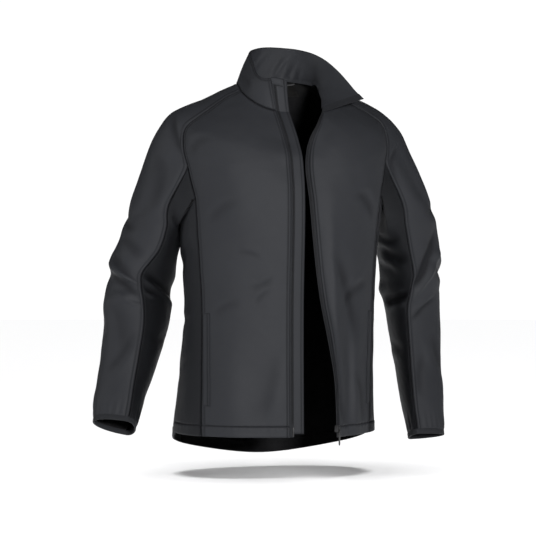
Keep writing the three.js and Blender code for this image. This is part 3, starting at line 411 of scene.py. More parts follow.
class Body:
    """Surface of the jacket's body: rings of a squared ellipse from hem to neck."""

    def __init__(self) -> None:
        """Makes one track for each column of the tables."""
        self.ring = {name: column(BODY_RINGS, "up", name) for name in Ring._fields}
        self.seam = {name: column(BODY_SEAMS, "up", name) for name in SeamAngles._fields}
        self.edge = {side: (column(rows, "up", "x"), column(rows, "up", "y"))
                     for side, rows in FRONT_EDGES.items()}

    def point(self, side: Side, angle: Any, up: Any) -> Array:
        """Ring point at an angle from straight ahead: the radius of a superellipse of power 2.3,
        with the height passing from the side's to the front's or back's by a power of the cosine.

        Args:
            side: The wearer's side.
            angle: Degrees from straight ahead.
            up: Length from the hem.

        Returns:
            Points.
        """
        angle, up = np.broadcast_arrays(np.radians(angle), np.asarray(up, float))
        sine, cosine = np.sin(angle), np.cos(angle)
        ahead = cosine > 0
        depth = np.where(ahead, self.ring["front"](up), self.ring["back"](up))
        end_height = np.where(ahead, self.ring["z_front"](up), self.ring["z_back"](up))
        half = self.ring[side.word](up)
        total = np.abs(sine / half) ** RING_POWER + np.abs(cosine / depth) ** RING_POWER
        radius = total ** (-1 / RING_POWER)
        x = side.value * radius * sine
        power = TAIL_POWER + (SHOULDER_POWER - TAIL_POWER) * smooth_step(0, TAIL_TOP, up)
        z_side = self.ring["z_side"](up)
        z = z_side + (end_height - z_side) * np.abs(cosine) ** power + self.ring["roll"](up) * x
        return point(x, -radius * cosine, z)

    def front(self, side: Side, share: Any, up: Any) -> Array:
        """Front panel from the side seam (0) to the turned edge (1): the ring pulled to the open
        edge by the share to the power 1.6, with bell shaped folds lifted forwards.

        Args:
            side: The wearer's side.
            share: Share of the way from the side seam to the edge.
            up: Length from the hem.

        Returns:
            Points.
        """
        share, up = paired(share, up)
        seam = self.seam["front"](up)
        points = self.point(side, seam + (EDGE_ANGLE - seam) * share, up)
        closed = self.point(side, EDGE_ANGLE, up)
        pull = np.maximum(share, 0) ** OPENING_POWER
        edge_x, edge_y = self.edge[side]
        points[..., 0] += (edge_x(up) - closed[..., 0]) * pull
        points[..., 1] += (edge_y(up) - closed[..., 1]) * pull
        fade = smooth_step(0, FOLD_FADE, share) * smooth_step(1.05, 0.9, share)
        lift = sum(fold.lift * hump(share, fold.at, fold.wide) * hump(up, fold.up, fold.long)
                   for fold in FRONT_FOLDS[side])
        points[..., 1] -= lift * fade
        return points

    def side(self, side: Side, share: Any, level: Any) -> Array:
        """Side panel between its front (0) and back seam (1), its top dipping under the arm.

        Args:
            side: The wearer's side.
            share: Share of the way from the front seam to the back seam.
            level: Length from the hem, before the dip.

        Returns:
            Points.
        """
        share, level = paired(share, level)
        dip = ARMPIT_DIP * np.abs(np.sin(np.pi * share)) ** ARMPIT_POWER
        front, back = self.seam["front"](level), self.seam["back"](level)
        return self.point(side, front + (back - front) * share, level * (1 - dip / ARMHOLE_LOW))

    def back(self, share: Any, up: Any) -> Array:
        """Back panel from the right seam (-1) to the left seam (1).

        Args:
            share: Share across, -1 to 1.
            up: Length from the hem.

        Returns:
            Points.
        """
        share, up = paired(share, up)
        angle = 180 - (180 - self.seam["back"](up)) * np.abs(share)
        right, left = self.point(Side.RIGHT, angle, up), self.point(Side.LEFT, angle, up)
        return np.where((share < 0)[..., None], right, left)


class Sleeve:
    """Surfaces of one sleeve: a strap over the shoulder, then half rounds over and under the arm."""

    def __init__(self, side: Side, body: Body) -> None:
        """Works out the guide curves of the seams, the crown and the inner side.

        Args:
            side: The wearer's side.
            body: Surface that the sleeve is sewn to.
        """
        self.side, self.body = side, body
        rings = [self._ring(i) for i in range(len(SLEEVES[side]))]
        strap = STRAPS[side]
        strap_at = np.array([row.at for row in strap], float)
        ats = np.concatenate([strap_at, [ring["at"] for ring in rings]])

        def joined(first: Array, name: str) -> Track:
            """Track over the strap's points and then the rings' ones."""
            return Track(ats, np.concatenate([first, [ring[name] for ring in rings]]))

        self.front_track = joined(self._body_seam(strap_at, "front"), "front")
        self.back_track = joined(self._body_seam(strap_at, "back"), "back")
        self.crown = joined(np.array([row.crown for row in strap], float), "crown")
        self.round = Track(ats, [row.round for row in strap] + [1] * len(rings))
        armpit = body.side(side, 0.5, ARMHOLE_LOW)
        inner_at = [ARMHOLE_AT] + [ring["at"] for ring in rings]
        self.inner = Track(inner_at, [armpit] + [ring["inner"] for ring in rings])
        self.end = float(SLEEVES[side][-1].at)
        self._armhole()

    def _ring(self, i: int) -> dict[str, Any]:
        """Guide points of one ring, on an ellipse square to the sleeve's line.

        Args:
            i: Number of the ring in its table.

        Returns:
            Its place down the sleeve and its four guide points, by name.
        """
        rows = SLEEVES[self.side]
        centre = np.array(rows[i].centre, float)
        before = np.array(rows[max(i - 1, 0)].centre, float)
        after = np.array(rows[min(i + 1, len(rows) - 1)].centre, float)
        axis = unit(after - before)
        sign = self.side.value
        outward = unit(np.array([sign, 0, 0]) - sign * axis[0] * axis)
        forward = unit(sign * np.cross(axis, outward))

        def on(degrees: float) -> Array:
            """Point of the ellipse at an angle from straight ahead."""
            turn = math.radians(degrees)
            aside = outward * rows[i].wide * math.sin(turn)
            return centre + aside + forward * rows[i].deep * math.cos(turn)

        inner = on(-90)
        inner[2] -= rows[i].droop
        return {"at": rows[i].at, "front": on(-rows[i].seam_front), "crown": on(90),
                "back": on(180 + rows[i].seam_back), "inner": inner}

    def _body_seam(self, at: Array, name: str) -> Array:
        """The body's seam that the strap and the sleeve head are sewn to."""
        up = NECK_UP - np.asarray(at, float)
        return self.body.point(self.side, self.body.seam[name](up), up)

    def _seam(self, at: Array, name: str) -> Array:
        """The sleeve's front or back seam: the body's down to the armhole, then its own track."""
        track = self.front_track if name == "front" else self.back_track
        above = self._body_seam(np.minimum(at, ARMHOLE_AT), name)
        return np.where((at <= ARMHOLE_AT)[..., None], above, track(at))

    def _armhole(self) -> None:
        """The armhole under the arm, and the share of its length at each of its points."""
        count = 281
        q = np.linspace(0, 1, count)
        self.armhole_line = self.armhole(q)
        steps = np.linalg.norm(np.diff(self.armhole_line, axis=0), axis=1)
        self.armhole_q = q
        self.armhole_share = np.concatenate([[0], np.cumsum(steps)]) / steps.sum()

    def armhole(self, q: Array) -> Array:
        """Down the front seam, along the side panel's top and up the back seam.

        Args:
            q: Share of the way round.

        Returns:
            Points.
        """
        seam_steps, under_steps = ARMHOLE_STEPS
        last = seam_steps + under_steps
        step = np.asarray(q, float) * (last + seam_steps)
        rise = ARMHOLE_HIGH - ARMHOLE_LOW
        down = ARMHOLE_HIGH - rise * np.clip(step, 0, seam_steps) / seam_steps
        climb = ARMHOLE_LOW + rise * np.clip(step - last, 0, seam_steps) / seam_steps
        front = self.body.front(self.side, 0, down)
        under_share = np.clip((step - seam_steps) / under_steps, 0, 1)
        under = self.body.side(self.side, under_share, ARMHOLE_LOW)
        back = self.body.point(self.side, self.body.seam["back"](climb), climb)
        middle = np.where((step > last)[..., None], back, under)
        return np.where((step < seam_steps)[..., None], front, middle)

    def outer(self, across: Any, at: Any) -> Array:
        """Outer sleeve from its front (0) to its back seam (1), with long slanting bell folds.

        Args:
            across: Share from the front seam to the back seam.
            at: Length from the neck.

        Returns:
            Points.
        """
        across, at = paired(across, at)
        crown = self.crown(at)
        front, back = self._seam(at, "front"), self._seam(at, "back")
        points = arch(front, crown, back, self.round(at), 2 * across - 1)
        centre = (crown + self.inner(np.maximum(at, ARMHOLE_AT))) / 2
        away = (points - centre) * np.array([1, 1, 0])
        fade = smooth_step(0, FOLD_FADE, across) * smooth_step(1, 1 - FOLD_FADE, across)
        fade = fade * smooth_step(ARMHOLE_AT - 40, ARMHOLE_AT, at)
        return points + unit(away) * (self._folds(across, at) * fade)[..., None]

    def _folds(self, across: Array, at: Array) -> Array:
        """Sum of the table's folds: bells, long one way and narrow the other, turned by a slant.

        Args:
            across: Share across.
            at: Length from the neck.

        Returns:
            Lift of each point.
        """
        total = np.zeros(across.shape)
        for row in SLEEVE_FOLDS[self.side]:
            sideways, along = (across - row.across) * OUTER_WIDTH, at - row.at
            c, s = math.cos(math.radians(row.turn)), math.sin(math.radians(row.turn))
            lengthwise, crosswise = sideways * c + along * s, along * c - sideways * s
            total += row.lift * hump(lengthwise, 0, row.long) * hump(crosswise, 0, row.wide)
        return total

    def plain_under(self, across: Any, at: Any) -> Array:
        """Under sleeve as a half ellipse over the inner side."""
        across, at = paired(across, at)
        front, back = self._seam(at, "front"), self._seam(at, "back")
        return arch(front, self.inner(at), back, np.ones(at.shape), 2 * across - 1)

    def under(self, across: Any, at: Any) -> Array:
        """Under sleeve, which starts on the armhole and passes into the half ellipse over 110 mm.

        Args:
            across: Share from the front seam to the back seam.
            at: Length from the neck.

        Returns:
            Points.
        """
        across, at = paired(across, at)
        fade = 1 - smooth_step(ARMHOLE_AT, ARMHOLE_AT + ARMPIT_FADE, at)
        share = np.interp(across, self.armhole_q, self.armhole_share)
        start = self.plain_under(share, np.full(across.shape, float(ARMHOLE_AT)))
        shift = self.armhole(across) - start
        return self.plain_under(share * fade + across * (1 - fade), at) + shift * fade[..., None]


class Collar:
    """Surface of the stand collar, from the right front edge round the back to the left tip."""

    def __init__(self, body: Body, sleeves: dict[Side, Sleeve]) -> None:
        """Walks along the neck seam once and keeps its points by length.

        Args:
            body: Surface of the body.
            sleeves: Sleeves, for their straps at the neck.
        """
        share = np.linspace(0, 1, 121)
        right, left = sleeves[Side.RIGHT], sleeves[Side.LEFT]
        zero = np.zeros(share.shape)
        parts = [
            body.front(Side.RIGHT, share[::-1], NECK_UP), right.outer(share, zero),
            body.back(2 * share - 1, NECK_UP), left.outer(share[::-1], zero),
            body.front(Side.LEFT, share, NECK_UP),
        ]
        line = np.concatenate([parts[0]] + [part[1:] for part in parts[1:]])
        steps = np.linalg.norm(np.diff(line, axis=0), axis=1)
        run = np.concatenate([[0], np.cumsum(steps)])
        self.length = float(run[-1])
        self.line, self.share = line, run / run[-1]
        per_part = len(share) - 1
        self.middle = float(self.share[2 * per_part + per_part // 2])
        fold = int(round(per_part * (1 - TAPE_START)))
        self.right_fold = float(self.share[fold])
        self.left_fold = float(self.share[-1 - fold])
        self.top = {side: column(rows, "at", "top") for side, rows in COLLAR_TOPS.items()}
        self.bow = {side: column(rows, "at", "bow") for side, rows in COLLAR_TOPS.items()}

    def seam(self, along: Any) -> Array:
        """The neck seam by the share of its whole length."""
        return np.stack([np.interp(along, self.share, self.line[:, k]) for k in range(3)], axis=-1)

    def point(self, along: Any, rise: Any) -> Array:
        """Straight from the seam to the top edge, bowed outwards between by the row's bow.

        Args:
            along: Share of the neck seam.
            rise: Share of the height.

        Returns:
            Points.
        """
        along, rise = paired(along, rise)
        on_right = along < self.middle
        at_right = np.clip(1 - along / self.middle, 0, 1)
        at_left = np.clip((along - self.middle) / (1 - self.middle), 0, 1)
        top = np.where(on_right[..., None], self.top[Side.RIGHT](at_right), self.top[Side.LEFT](at_left))
        bow = np.where(on_right, self.bow[Side.RIGHT](at_right), self.bow[Side.LEFT](at_left))
        seam = self.seam(along)
        points = seam + (top - seam) * rise[..., None]
        away = unit(points * np.array([1, 1, 0]))
        return points + away * (bow * 4 * rise * (1 - rise))[..., None]


# Cloth

CLOTH = 2.0            # wall of the bonded cloth, as in the part
HEM_CLOTH = 3.4        # where it is turned up at the hem
LEAF = 1.5             # one leaf of the collar
LAYER_GAP = 0.35       # between two layers that lie on each other
TAPE_CLOTH = 1.0
FLAP_CLOTH = 2.0
CLOTH_STEP = 3.4       # length between two rows or columns of a cloth mesh
EDGE_STEPS = (0, 0.7, 1.5, 2.6, 4.0, 5.6, 7.6)
HEM_STEPS = (0, 0.7, 1.6, 3.2, 6, 9, 12, 15, 17.6, 19.4, 20.6, 21.6, 22.6, 23.8, 25.8)
WELD_REACH = 2.8       # panels whose rims are this close share one direction there
WELD_EASE = 2.2        # and pass into it over about this length
RIM_BULGE = 0.18       # how far a rim stands out, as a share of the cloth's thickness
HOLD_REACH = 7         # seams keep creases flat over about this length
TROUGH_DARK = 4.5      # a crease this deep gets the darkest painted shade
TROUGH_SHADE = 0.9
TWIN_STITCHES = (1.6, 6.4)
STITCH_FROM_EDGE = 5.5
HEM_STITCH = 20.6
ECHO_AT = 1.9          # where a crease's other side lies, in widths of the crease


class Wave(NamedTuple):
    """Small wave of all the cloth: its height, its length and the seed of its directions."""

    height: float
    length: float
    seed: int


CLOTH_WAVES = table(
    Wave, (0.75, 96, 3), (0.3, 41, 5), (0.12, 17, 7),
)


class Bell(NamedTuple):
    """Bell shaped lift beside an edge: its height, the distance of its middle and its width."""

    height: float
    at: float
    width: float

    def lift(self, distance: Array) -> Array:
        """The bell's lift at each distance from the edge."""
        return self.height * hump(distance, self.at, self.width)


SEAM_PUFF = Bell(1, 4.2, 2.4)
SEAM_DIP = Bell(1, 0, 1.6)
# painted shade in a seam's dip
SEAM_SHADE = Bell(1, 0, 2.0)
PUCKERS = Bell(1, 4, 5.5)
PUCKER_PITCH = 10.5
STITCH_DIP, STITCH_DIP_WIDTH = 0.5, 1.1
# painted shade along a line of stitches
STITCH_SHADE, STITCH_SHADE_WIDTH = 0.9, 1.3
RIM_STITCH = 2         # stitches nearer than this to the edge lie in the seam's own dip
HEM_DRAWN = Bell(-0.9, HEM_DEPTH - 1.2, 1.5)
HEM_FULL = Bell(0.5, HEM_DEPTH - 6, 4)
HEM_WAVES = Bell(0.45, HEM_DEPTH - 4, 7)
HEM_ROUND = Bell(0.6, 0, 1.2)
HEM_PITCH = 13


def steps_along(length: float, low: tuple = EDGE_STEPS, high: tuple = EDGE_STEPS) -> Array:
    """Places from 0 to a length: close together at both ends and evenly spaced between.

    Args:
        length: Whole length.
        low: Places near its start.
        high: The same from its end.

    Returns:
        The places.
    """
    start, end = low[-1], length - high[-1]
    count = max(2, int(round((end - start) / CLOTH_STEP)))
    middle = np.linspace(start, end, count + 1)[1:-1]
    return np.concatenate([low, middle, length - np.array(high[::-1], float)])


def lengths(points: Array, axis: int) -> Array:
    """Length along a grid from its first row or column to each of its points.

    Args:
        points: Grid of points.
        axis: 0 to go up its rows, 1 along its columns.

    Returns:
        A length for each point.
    """
    steps = np.linalg.norm(np.diff(points, axis=axis), axis=-1)
    start = np.zeros_like(np.take(steps, [0], axis=axis))
    return np.concatenate([start, np.cumsum(steps, axis=axis)], axis=axis)


def grid_normals(points: Array, flip: bool) -> Array:
    """Unit normals of a grid: the slope along its columns crossed with the slope up its rows."""
    normals = unit(np.cross(np.gradient(points, axis=1), np.gradient(points, axis=0)))
    return -normals if flip else normals


def ripple(points: Array, wavelength: float, seed: int) -> Array:
    """Smooth field of about -1 to 1: the mean of nine sines along fixed scattered directions.

    Args:
        points: Points of the cloth.
        wavelength: Mean wavelength.
        seed: Seed of the directions.

    Returns:
        The field at each point.
    """
    pick = np.random.default_rng(seed)
    directions = unit(pick.normal(size=(9, 3))) * pick.uniform(0.65, 1.4, (9, 1))
    phases = pick.uniform(0, 2 * np.pi, 9)
    return np.sin(points @ directions.T * (2 * np.pi / wavelength) + phases).sum(axis=-1) / 4.5


@dataclass(frozen=True)
class Crease:
    """Soft trough (depth under 0) or ridge of a panel, between two places on its cloth.

    A place is the length across from the panel's origin and the length along it. The lift is a
    bell across the line, with half as much the other way beside it, and fades at both ends.
    """

    start: tuple[float, float]
    end: tuple[float, float]
    width: float
    depth: float
    bend: float = 0
    echo: float = 0.45

    def lift(self, across: Array, along: Array) -> Array:
        """How far the crease raises each point of the cloth.

        Args:
            across: Length across the cloth.
            along: Length along it.

        Returns:
            Lift of each point.
        """
        line = np.subtract(self.end, self.start)
        length = float(np.hypot(*line))
        c, s = line / length
        dx, dy = across - self.start[0], along - self.start[1]
        t = (dx * c + dy * s) / length
        sideways = dy * c - dx * s - self.bend * 4 * t * (1 - t)
        taper = smooth_step(-0.2, 0.3, t) * smooth_step(1.2, 0.7, t)
        body = hump(sideways, 0, self.width)
        beside = hump(sideways, ECHO_AT * self.width, self.width)
        return self.depth * taper * (body - self.echo * beside)


@dataclass
class Seam:
    """One edge of a panel: what it is sewn to or how it is turned, and its lines of stitches."""

    edge: Edge
    depth: float = 1.5
    puff: float = 0.55
    pucker: float = 0.35
    stitches: tuple[float, ...] = ()
    skip: tuple[float, float] = (3, 3)

    def lift(self, distance: Array, run: Array, seed: int) -> Array:
        """Dip at the edge, a low swelling beside it and small uneven puckers along it.

        Args:
            distance: Length from the edge.
            run: Length along the edge.
            seed: Shift of the puckers.

        Returns:
            Lift of each point.
        """
        dip = self.puff * SEAM_PUFF.lift(distance) - self.depth * SEAM_DIP.lift(distance)
        wave = np.sin(2 * np.pi * run / PUCKER_PITCH + 2.2 * np.sin(run / 31 + seed) + seed)
        uneven = 0.6 + 0.4 * np.sin(run / 47 + 2 * seed)
        grooves = sum(-STITCH_DIP * hump(distance, line, STITCH_DIP_WIDTH)
                      for line in self.stitches if line > RIM_STITCH)
        return dip + self.pucker * wave * uneven * PUCKERS.lift(distance) + grooves

    def shade(self, distance: Array) -> Array:
        """How deep each point lies in the seam or in a line of stitches, 0 to 1, as the share of painted
        shade it gets.
        """
        lines = [STITCH_SHADE * hump(distance, line, STITCH_SHADE_WIDTH)
                 for line in self.stitches if line > RIM_STITCH]
        return np.max([min(self.depth, 1) * SEAM_SHADE.lift(distance), *lines], axis=0)


@dataclass
class Panel:
    """Panel of cloth on one of the part's surfaces.

    Args:
        name: The part's node that it takes the place of.
        surface: Formula of the panel's face, by the share across and the place along it.
        shares: Shares across, one for each column.
        places: Places along, one for each row.
        flip: True where the columns run the other way round, seen from the face.
        origin: Share across from which the creases' first numbers count.
        tall: Millimetres that one unit of the places stands for.
    """

    name: str
    surface: Surface
    shares: Array
    places: Array
    flip: bool
    seams: tuple[Seam, ...] = ()
    creases: tuple[Crease, ...] = ()
    hem: float = 0
    thick: float | Array = CLOTH
    depth: float | Array = 0
    origin: float = 0
    waves: float = 1
    seed: int = 0
    tall: float = 1
    relief: Callable[["Panel"], Array] | None = None
    facing: Array | None = None
    bare: Array = field(init=False)
    face: Array = field(init=False)
    normals: Array = field(init=False)
    folds: Array = field(init=False)
    across: Array = field(init=False)
    along: Array = field(init=False)
    away: dict[Edge, Array] = field(init=False)

    def __post_init__(self) -> None:
        """Works out the bare face, its normals and the lengths from its four edges."""
        self.bare = self.surface(self.shares[None, :], self.places[:, None])
        self.normals = grid_normals(self.bare, self.flip) if self.facing is None else self.facing
        across, along = lengths(self.bare, 1), lengths(self.bare, 0)
        self.away = {Edge.START: across, Edge.END: across[:, -1:] - across,
                     Edge.LOW: along, Edge.HIGH: along[-1:] - along}
        self.across = across - self.origin * across[:, -1:]
        self.along = np.broadcast_to(self.places[:, None] * self.tall, across.shape)

    def rim(self) -> Array:
        """Indexes of the grid's rim, once round: first row, last column, last row, first column."""
        rows, columns = self.bare.shape[:2]
        index = np.arange(rows * columns).reshape(rows, columns)
        return np.concatenate([index[0, :-1], index[:-1, -1], index[-1, :0:-1], index[:0:-1, 0]])

    def shape(self) -> None:
        """Raises the face by its seams, creases, hem and small waves."""
        lift = self.waves * sum(wave.height * ripple(self.bare, wave.length, wave.seed)
                                for wave in CLOTH_WAVES)
        flat = np.zeros_like(self.across)
        free = np.prod([1 - flat, *(1 - self._hold(seam) for seam in self.seams)], axis=0)
        self.folds = free * sum((crease.lift(self.across, self.along) for crease in self.creases), flat)
        lift = lift + self.folds
        for k, seam in enumerate(self.seams):
            run = self.away[Edge.LOW] if seam.edge in (Edge.START, Edge.END) else self.away[Edge.START]
            lift = lift + seam.lift(self.away[seam.edge], run, self.seed + k)
        if self.hem:
            lift = lift + self._hem_lift()
        if self.relief:
            lift = lift + self.relief(self)
        self.face = self.bare + self.normals * (lift - self.depth)[..., None]

    def sample(self, shares: Array, places: Array, inside: bool = False) -> "Run":
        """Points and normals of the face, or of the inner face, between the grid's own points.

        Args:
            shares: Shares across.
            places: Places along.
            inside: True for the inner face.

        Returns:
            The points, and the face's normals there.
        """
        shares, places = paired(shares, places)
        j = np.clip(np.searchsorted(self.shares, shares) - 1, 0, len(self.shares) - 2)
        i = np.clip(np.searchsorted(self.places, places) - 1, 0, len(self.places) - 2)
        s = ((shares - self.shares[j]) / (self.shares[j + 1] - self.shares[j]))[..., None]
        t = ((places - self.places[i]) / (self.places[i + 1] - self.places[i]))[..., None]

        def between(grid: Array) -> Array:
            """The grid's values at the places, from the four corners round each of them."""
            low = grid[i, j] * (1 - s) + grid[i, j + 1] * s
            high = grid[i + 1, j] * (1 - s) + grid[i + 1, j + 1] * s
            return low * (1 - t) + high * t

        face = self.back_face() if inside else self.face
        return Run(between(face), unit(between(self.normals)))

    def _hold(self, seam: Seam) -> Array:
        """1 on a seam and 0 a little way off, where creases come to their full height."""
        return hump(self.away[seam.edge], 0, HOLD_REACH)

    def _hem_lift(self) -> Array:
        """The turned hem is a little fuller, drawn in at its stitches, and waves along its edge."""
        low, run = self.away[Edge.LOW], self.away[Edge.START]
        drawn = HEM_DRAWN.lift(low) + HEM_FULL.lift(low) - HEM_ROUND.lift(low)
        wave = np.sin(2 * np.pi * run / HEM_PITCH + 2.4 * np.sin(run / 41 + self.seed))
        return drawn + wave * HEM_WAVES.lift(low)

    def back_face(self) -> Array:
        """Inner face: the outer one moved in by the cloth's thickness, more at the turned hem."""
        thick = np.full(self.bare.shape[:2], self.thick)
        if self.hem:
            turned = smooth_step(self.hem + 0.8, self.hem - 0.4, self.away[Edge.LOW])
            thick = thick + (HEM_CLOTH - self.thick) * turned
        return self.face - self.normals * thick[..., None]

    def build(self, cloth: "Finish", lining: "Finish") -> bpy.types.Object:
        """Closed sheet: the face, the inner face and a rounded rim between them.

        Args:
            cloth: Finish of the face and the rim.
            lining: Finish of the inner face.

        Returns:
            The sheet.
        """
        rows, columns = self.bare.shape[:2]
        count = rows * columns
        inner = self.back_face()
        rim = self.rim()
        outwards = self._outwards()
        half = (self.face.reshape(-1, 3)[rim] + inner.reshape(-1, 3)[rim]) / 2
        gauge = np.linalg.norm((self.face - inner).reshape(-1, 3)[rim], axis=1, keepdims=True)
        middle = half + outwards.reshape(-1, 3)[rim] * gauge * RIM_BULGE
        vertices = np.concatenate([self.face.reshape(-1, 3), inner.reshape(-1, 3), middle])
        cells = grid_quads(rows, columns)
        after = np.roll(rim, -1)
        k = 2 * count + np.arange(len(rim))
        bands = np.concatenate([
            np.stack([rim, k, np.roll(k, -1), after], axis=1),
            np.stack([k, rim + count, after + count, np.roll(k, -1)], axis=1),
        ])
        quads = np.concatenate([cells, cells[:, ::-1] + count, bands])
        if self.flip:
            quads = quads[:, ::-1]
        plan = np.stack([self.across, self.along], axis=-1).reshape(-1, 2) * MM
        uv = np.concatenate([plan, plan, plan[rim]])
        # Painted shade: the cloth is darkened in each seam's dip, along its lines of stitches and in the
        # creases' troughs, where shade would fall; a point attribute carries it to the material
        lines = [seam.shade(self.away[seam.edge]) for seam in self.seams]
        trough = np.clip(-self.folds / TROUGH_DARK, 0, 1) * TROUGH_SHADE
        groove = np.max([*lines, trough], axis=0).reshape(-1)
        groove = np.concatenate([groove, 0 * groove, groove[rim]])
        slots = np.zeros(len(quads), int)
        slots[len(cells):2 * len(cells)] = 1
        piece = mesh_object(self.name + "_cloth", vertices, [quads], uv, [cloth, lining], slots)
        attribute = piece.data.attributes.new("groove", "FLOAT", "POINT")
        attribute.data.foreach_set("value", groove.astype(np.float32))
        return piece

    def _outwards(self) -> Array:
        """Directions off the cloth at its rim, along its face; elsewhere nothing."""
        out = np.zeros_like(self.face)
        out[0] += unit(self.face[0] - self.face[1])
        out[-1] += unit(self.face[-1] - self.face[-2])
        out[:, 0] += unit(self.face[:, 0] - self.face[:, 1])
        out[:, -1] += unit(self.face[:, -1] - self.face[:, -2])
        return unit(out)

    def line(self, edge: Edge, distance: float) -> tuple[Array, Array]:
        """Points and normals of the line on the face that keeps its distance from an edge.

        Args:
            edge: The edge.
            distance: Length from it.

        Returns:
            Points and normals, one for each row or column.
        """
        face, normals, away = self.face, self.normals, self.away[edge]
        if edge in (Edge.LOW, Edge.HIGH):
            face, normals, away = face.swapaxes(0, 1), normals.swapaxes(0, 1), away.T
        if edge in (Edge.END, Edge.HIGH):
            face, normals, away = face[:, ::-1], normals[:, ::-1], away[:, ::-1]
        after = np.clip((away < distance).sum(axis=1), 1, away.shape[1] - 1)
        row = np.arange(len(away))
        low, high = away[row, after - 1], away[row, after]
        t = ((distance - low) / (high - low))[:, None]
        points = face[row, after - 1] * (1 - t) + face[row, after] * t
        return points, unit(normals[row, after - 1] * (1 - t) + normals[row, after] * t)


def grid_quads(rows: int, columns: int, closed: bool = False, ring: bool = False) -> Array:
    """Quads of a grid.

    Args:
        rows: Number of its rows.
        columns: Number of its columns.
        closed: True where its last column is joined to its first one.
        ring: True where its last row is joined to its first one.

    Returns:
        Four indexes for each quad.
    """
    index = np.arange(rows * columns).reshape(rows, columns)
    index = np.pad(index, ((0, int(ring)), (0, int(closed))), mode="wrap")
    corners = (index[:-1, :-1], index[:-1, 1:], index[1:, 1:], index[1:, :-1])
    return np.stack([corner.reshape(-1) for corner in corners], axis=1)


def weld(panels: list[Panel]) -> None:
    """Gives the rims of panels that meet one direction, and eases each panel's normals into it.

    Args:
        panels: Panels that are sewn to each other; their normals are changed.
    """
    rims = [panel.rim() for panel in panels]
    points = [panel.bare.reshape(-1, 3)[rim] for panel, rim in zip(panels, rims)]
    own = [panel.normals.reshape(-1, 3)[rim].copy() for panel, rim in zip(panels, rims)]
    for a, panel in enumerate(panels):
        total = own[a].copy()
        for b, other in enumerate(points):
            if a == b:
                continue
            apart = np.linalg.norm(points[a][:, None] - other[None], axis=-1)
            nearest = apart.argmin(axis=1)
            total += own[b][nearest] * (apart.min(axis=1) < WELD_REACH)[:, None]
        shared = np.zeros_like(panel.normals).reshape(-1, 3)
        shared[rims[a]] = unit(total)
        panel.normals = ease_normals(panel, shared.reshape(panel.normals.shape))


def ease_normals(panel: Panel, rim: Array) -> Array:
    """Normals that pass from the rim's directions to the panel's own over a few millimetres.

    Args:
        panel: The panel.
        rim: Grid that holds the shared directions at the rim.

    Returns:
        The panel's new normals.
    """
    edges = {Edge.START: rim[:, :1], Edge.END: rim[:, -1:], Edge.LOW: rim[:1], Edge.HIGH: rim[-1:]}
    total = panel.normals.copy()
    for edge, directions in edges.items():
        pull = hump(panel.away[edge], 0, WELD_EASE)[..., None]
        total = total * (1 - pull) + directions * pull
    return unit(total)


# Meshes and finishes

SHARP_ANGLE = 62


@dataclass(frozen=True)
class Finish:
    """Finish of a material; each kind below makes its own nodes."""

    name: str
    slot: Slot

    def material(self) -> bpy.types.Material:
        """The finish's material, made once."""
        found = bpy.data.materials.get(self.name)
        if found:
            return found
        made = bpy.data.materials.new(self.name)
        made.use_nodes = True
        made.node_tree.nodes.clear()
        self.dress(Tree(made.node_tree))
        return made

    def dress(self, tree: "Tree") -> None:
        """Makes the finish's nodes.

        Args:
            tree: The material's empty tree.
        """
        raise NotImplementedError


def mesh_object(
    name: str, points: Array, faces: list[Array], uv: Array | None, finishes: list[Finish],
    slots: Array | None = None,
) -> bpy.types.Object:
    """Makes a mesh from points in millimetres and puts it in the scene.

    Args:
        name: Name of the piece.
        points: Points, in millimetres.
        faces: Arrays of faces, one row of corners for each face.
        uv: Two coordinates for each point, or None.
        finishes: Finishes of its material slots.
        slots: Index of a finish for each face, or None for the first one.

    Returns:
        The object.
    """
    mesh = bpy.data.meshes.new(name)
    mesh.from_pydata((points * MM).tolist(), [], [face for rows in faces for face in rows.tolist()])
    mesh.polygons.foreach_set("use_smooth", np.ones(len(mesh.polygons), bool))
    if slots is not None:
        mesh.polygons.foreach_set("material_index", slots.astype(np.int32))
    if uv is not None:
        corners = np.empty(len(mesh.loops), np.int32)
        mesh.loops.foreach_get("vertex_index", corners)
        mesh.uv_layers.new(name="cloth").data.foreach_set("uv", uv[corners].astype(np.float32).reshape(-1))
    mesh.set_sharp_from_angle(angle=math.radians(SHARP_ANGLE))
    for finish in finishes:
        mesh.materials.append(finish.material())
    mesh.update()
    piece = bpy.data.objects.new(name, mesh)
    bpy.context.scene.collection.objects.link(piece)
    return piece


def settle(
    piece: bpy.types.Object, slot: Slot, body: str = GARMENT, replaced: tuple[str, ...] = (),
) -> bpy.types.Object:
    """Gives a piece its body, hides the nodes it takes the place of, and reports it.

    Args:
        piece: The piece.
        slot: Material slot of the record; not used.
        body: The body that it moves with.
        replaced: Nodes that it takes the place of.

    Returns:
        The piece.
    """
    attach(piece, body)
    for node in replaced:
        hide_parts(node)
    LOG.info("%s: %d faces", piece.name, len(piece.data.polygons))
    return piece


# Sewing


class Run(NamedTuple):
    """Line of sewing on a piece: its points, and the directions that face off the cloth there."""

    points: Array
    normals: Array

    def even(self, pitch: float, skip: tuple[float, float] = (0, 0)) -> tuple[Array, Array, Array]:
        """Evenly spaced places along the run, with their tangents and normals.

        Args:
            pitch: Length between two places.
            skip: Lengths left out at the start and the end.

        Returns:
            Places, tangents and normals.
        """
        steps = np.linalg.norm(np.diff(self.points, axis=0), axis=1)
        along = np.concatenate([[0], np.cumsum(steps)])
        count = max(1, int((along[-1] - skip[0] - skip[1]) / pitch))
        at = skip[0] + (np.arange(count) + 0.5) * pitch
        places = np.stack([np.interp(at, along, self.points[:, k]) for k in range(3)], axis=1)
        ahead = np.stack([np.interp(at + 0.6, along, self.points[:, k]) for k in range(3)], axis=1)
        behind = np.stack([np.interp(at - 0.6, along, self.points[:, k]) for k in range(3)], axis=1)
        normals = np.stack([np.interp(at, along, self.normals[:, k]) for k in range(3)], axis=1)
        return places, unit(ahead - behind), unit(normals)


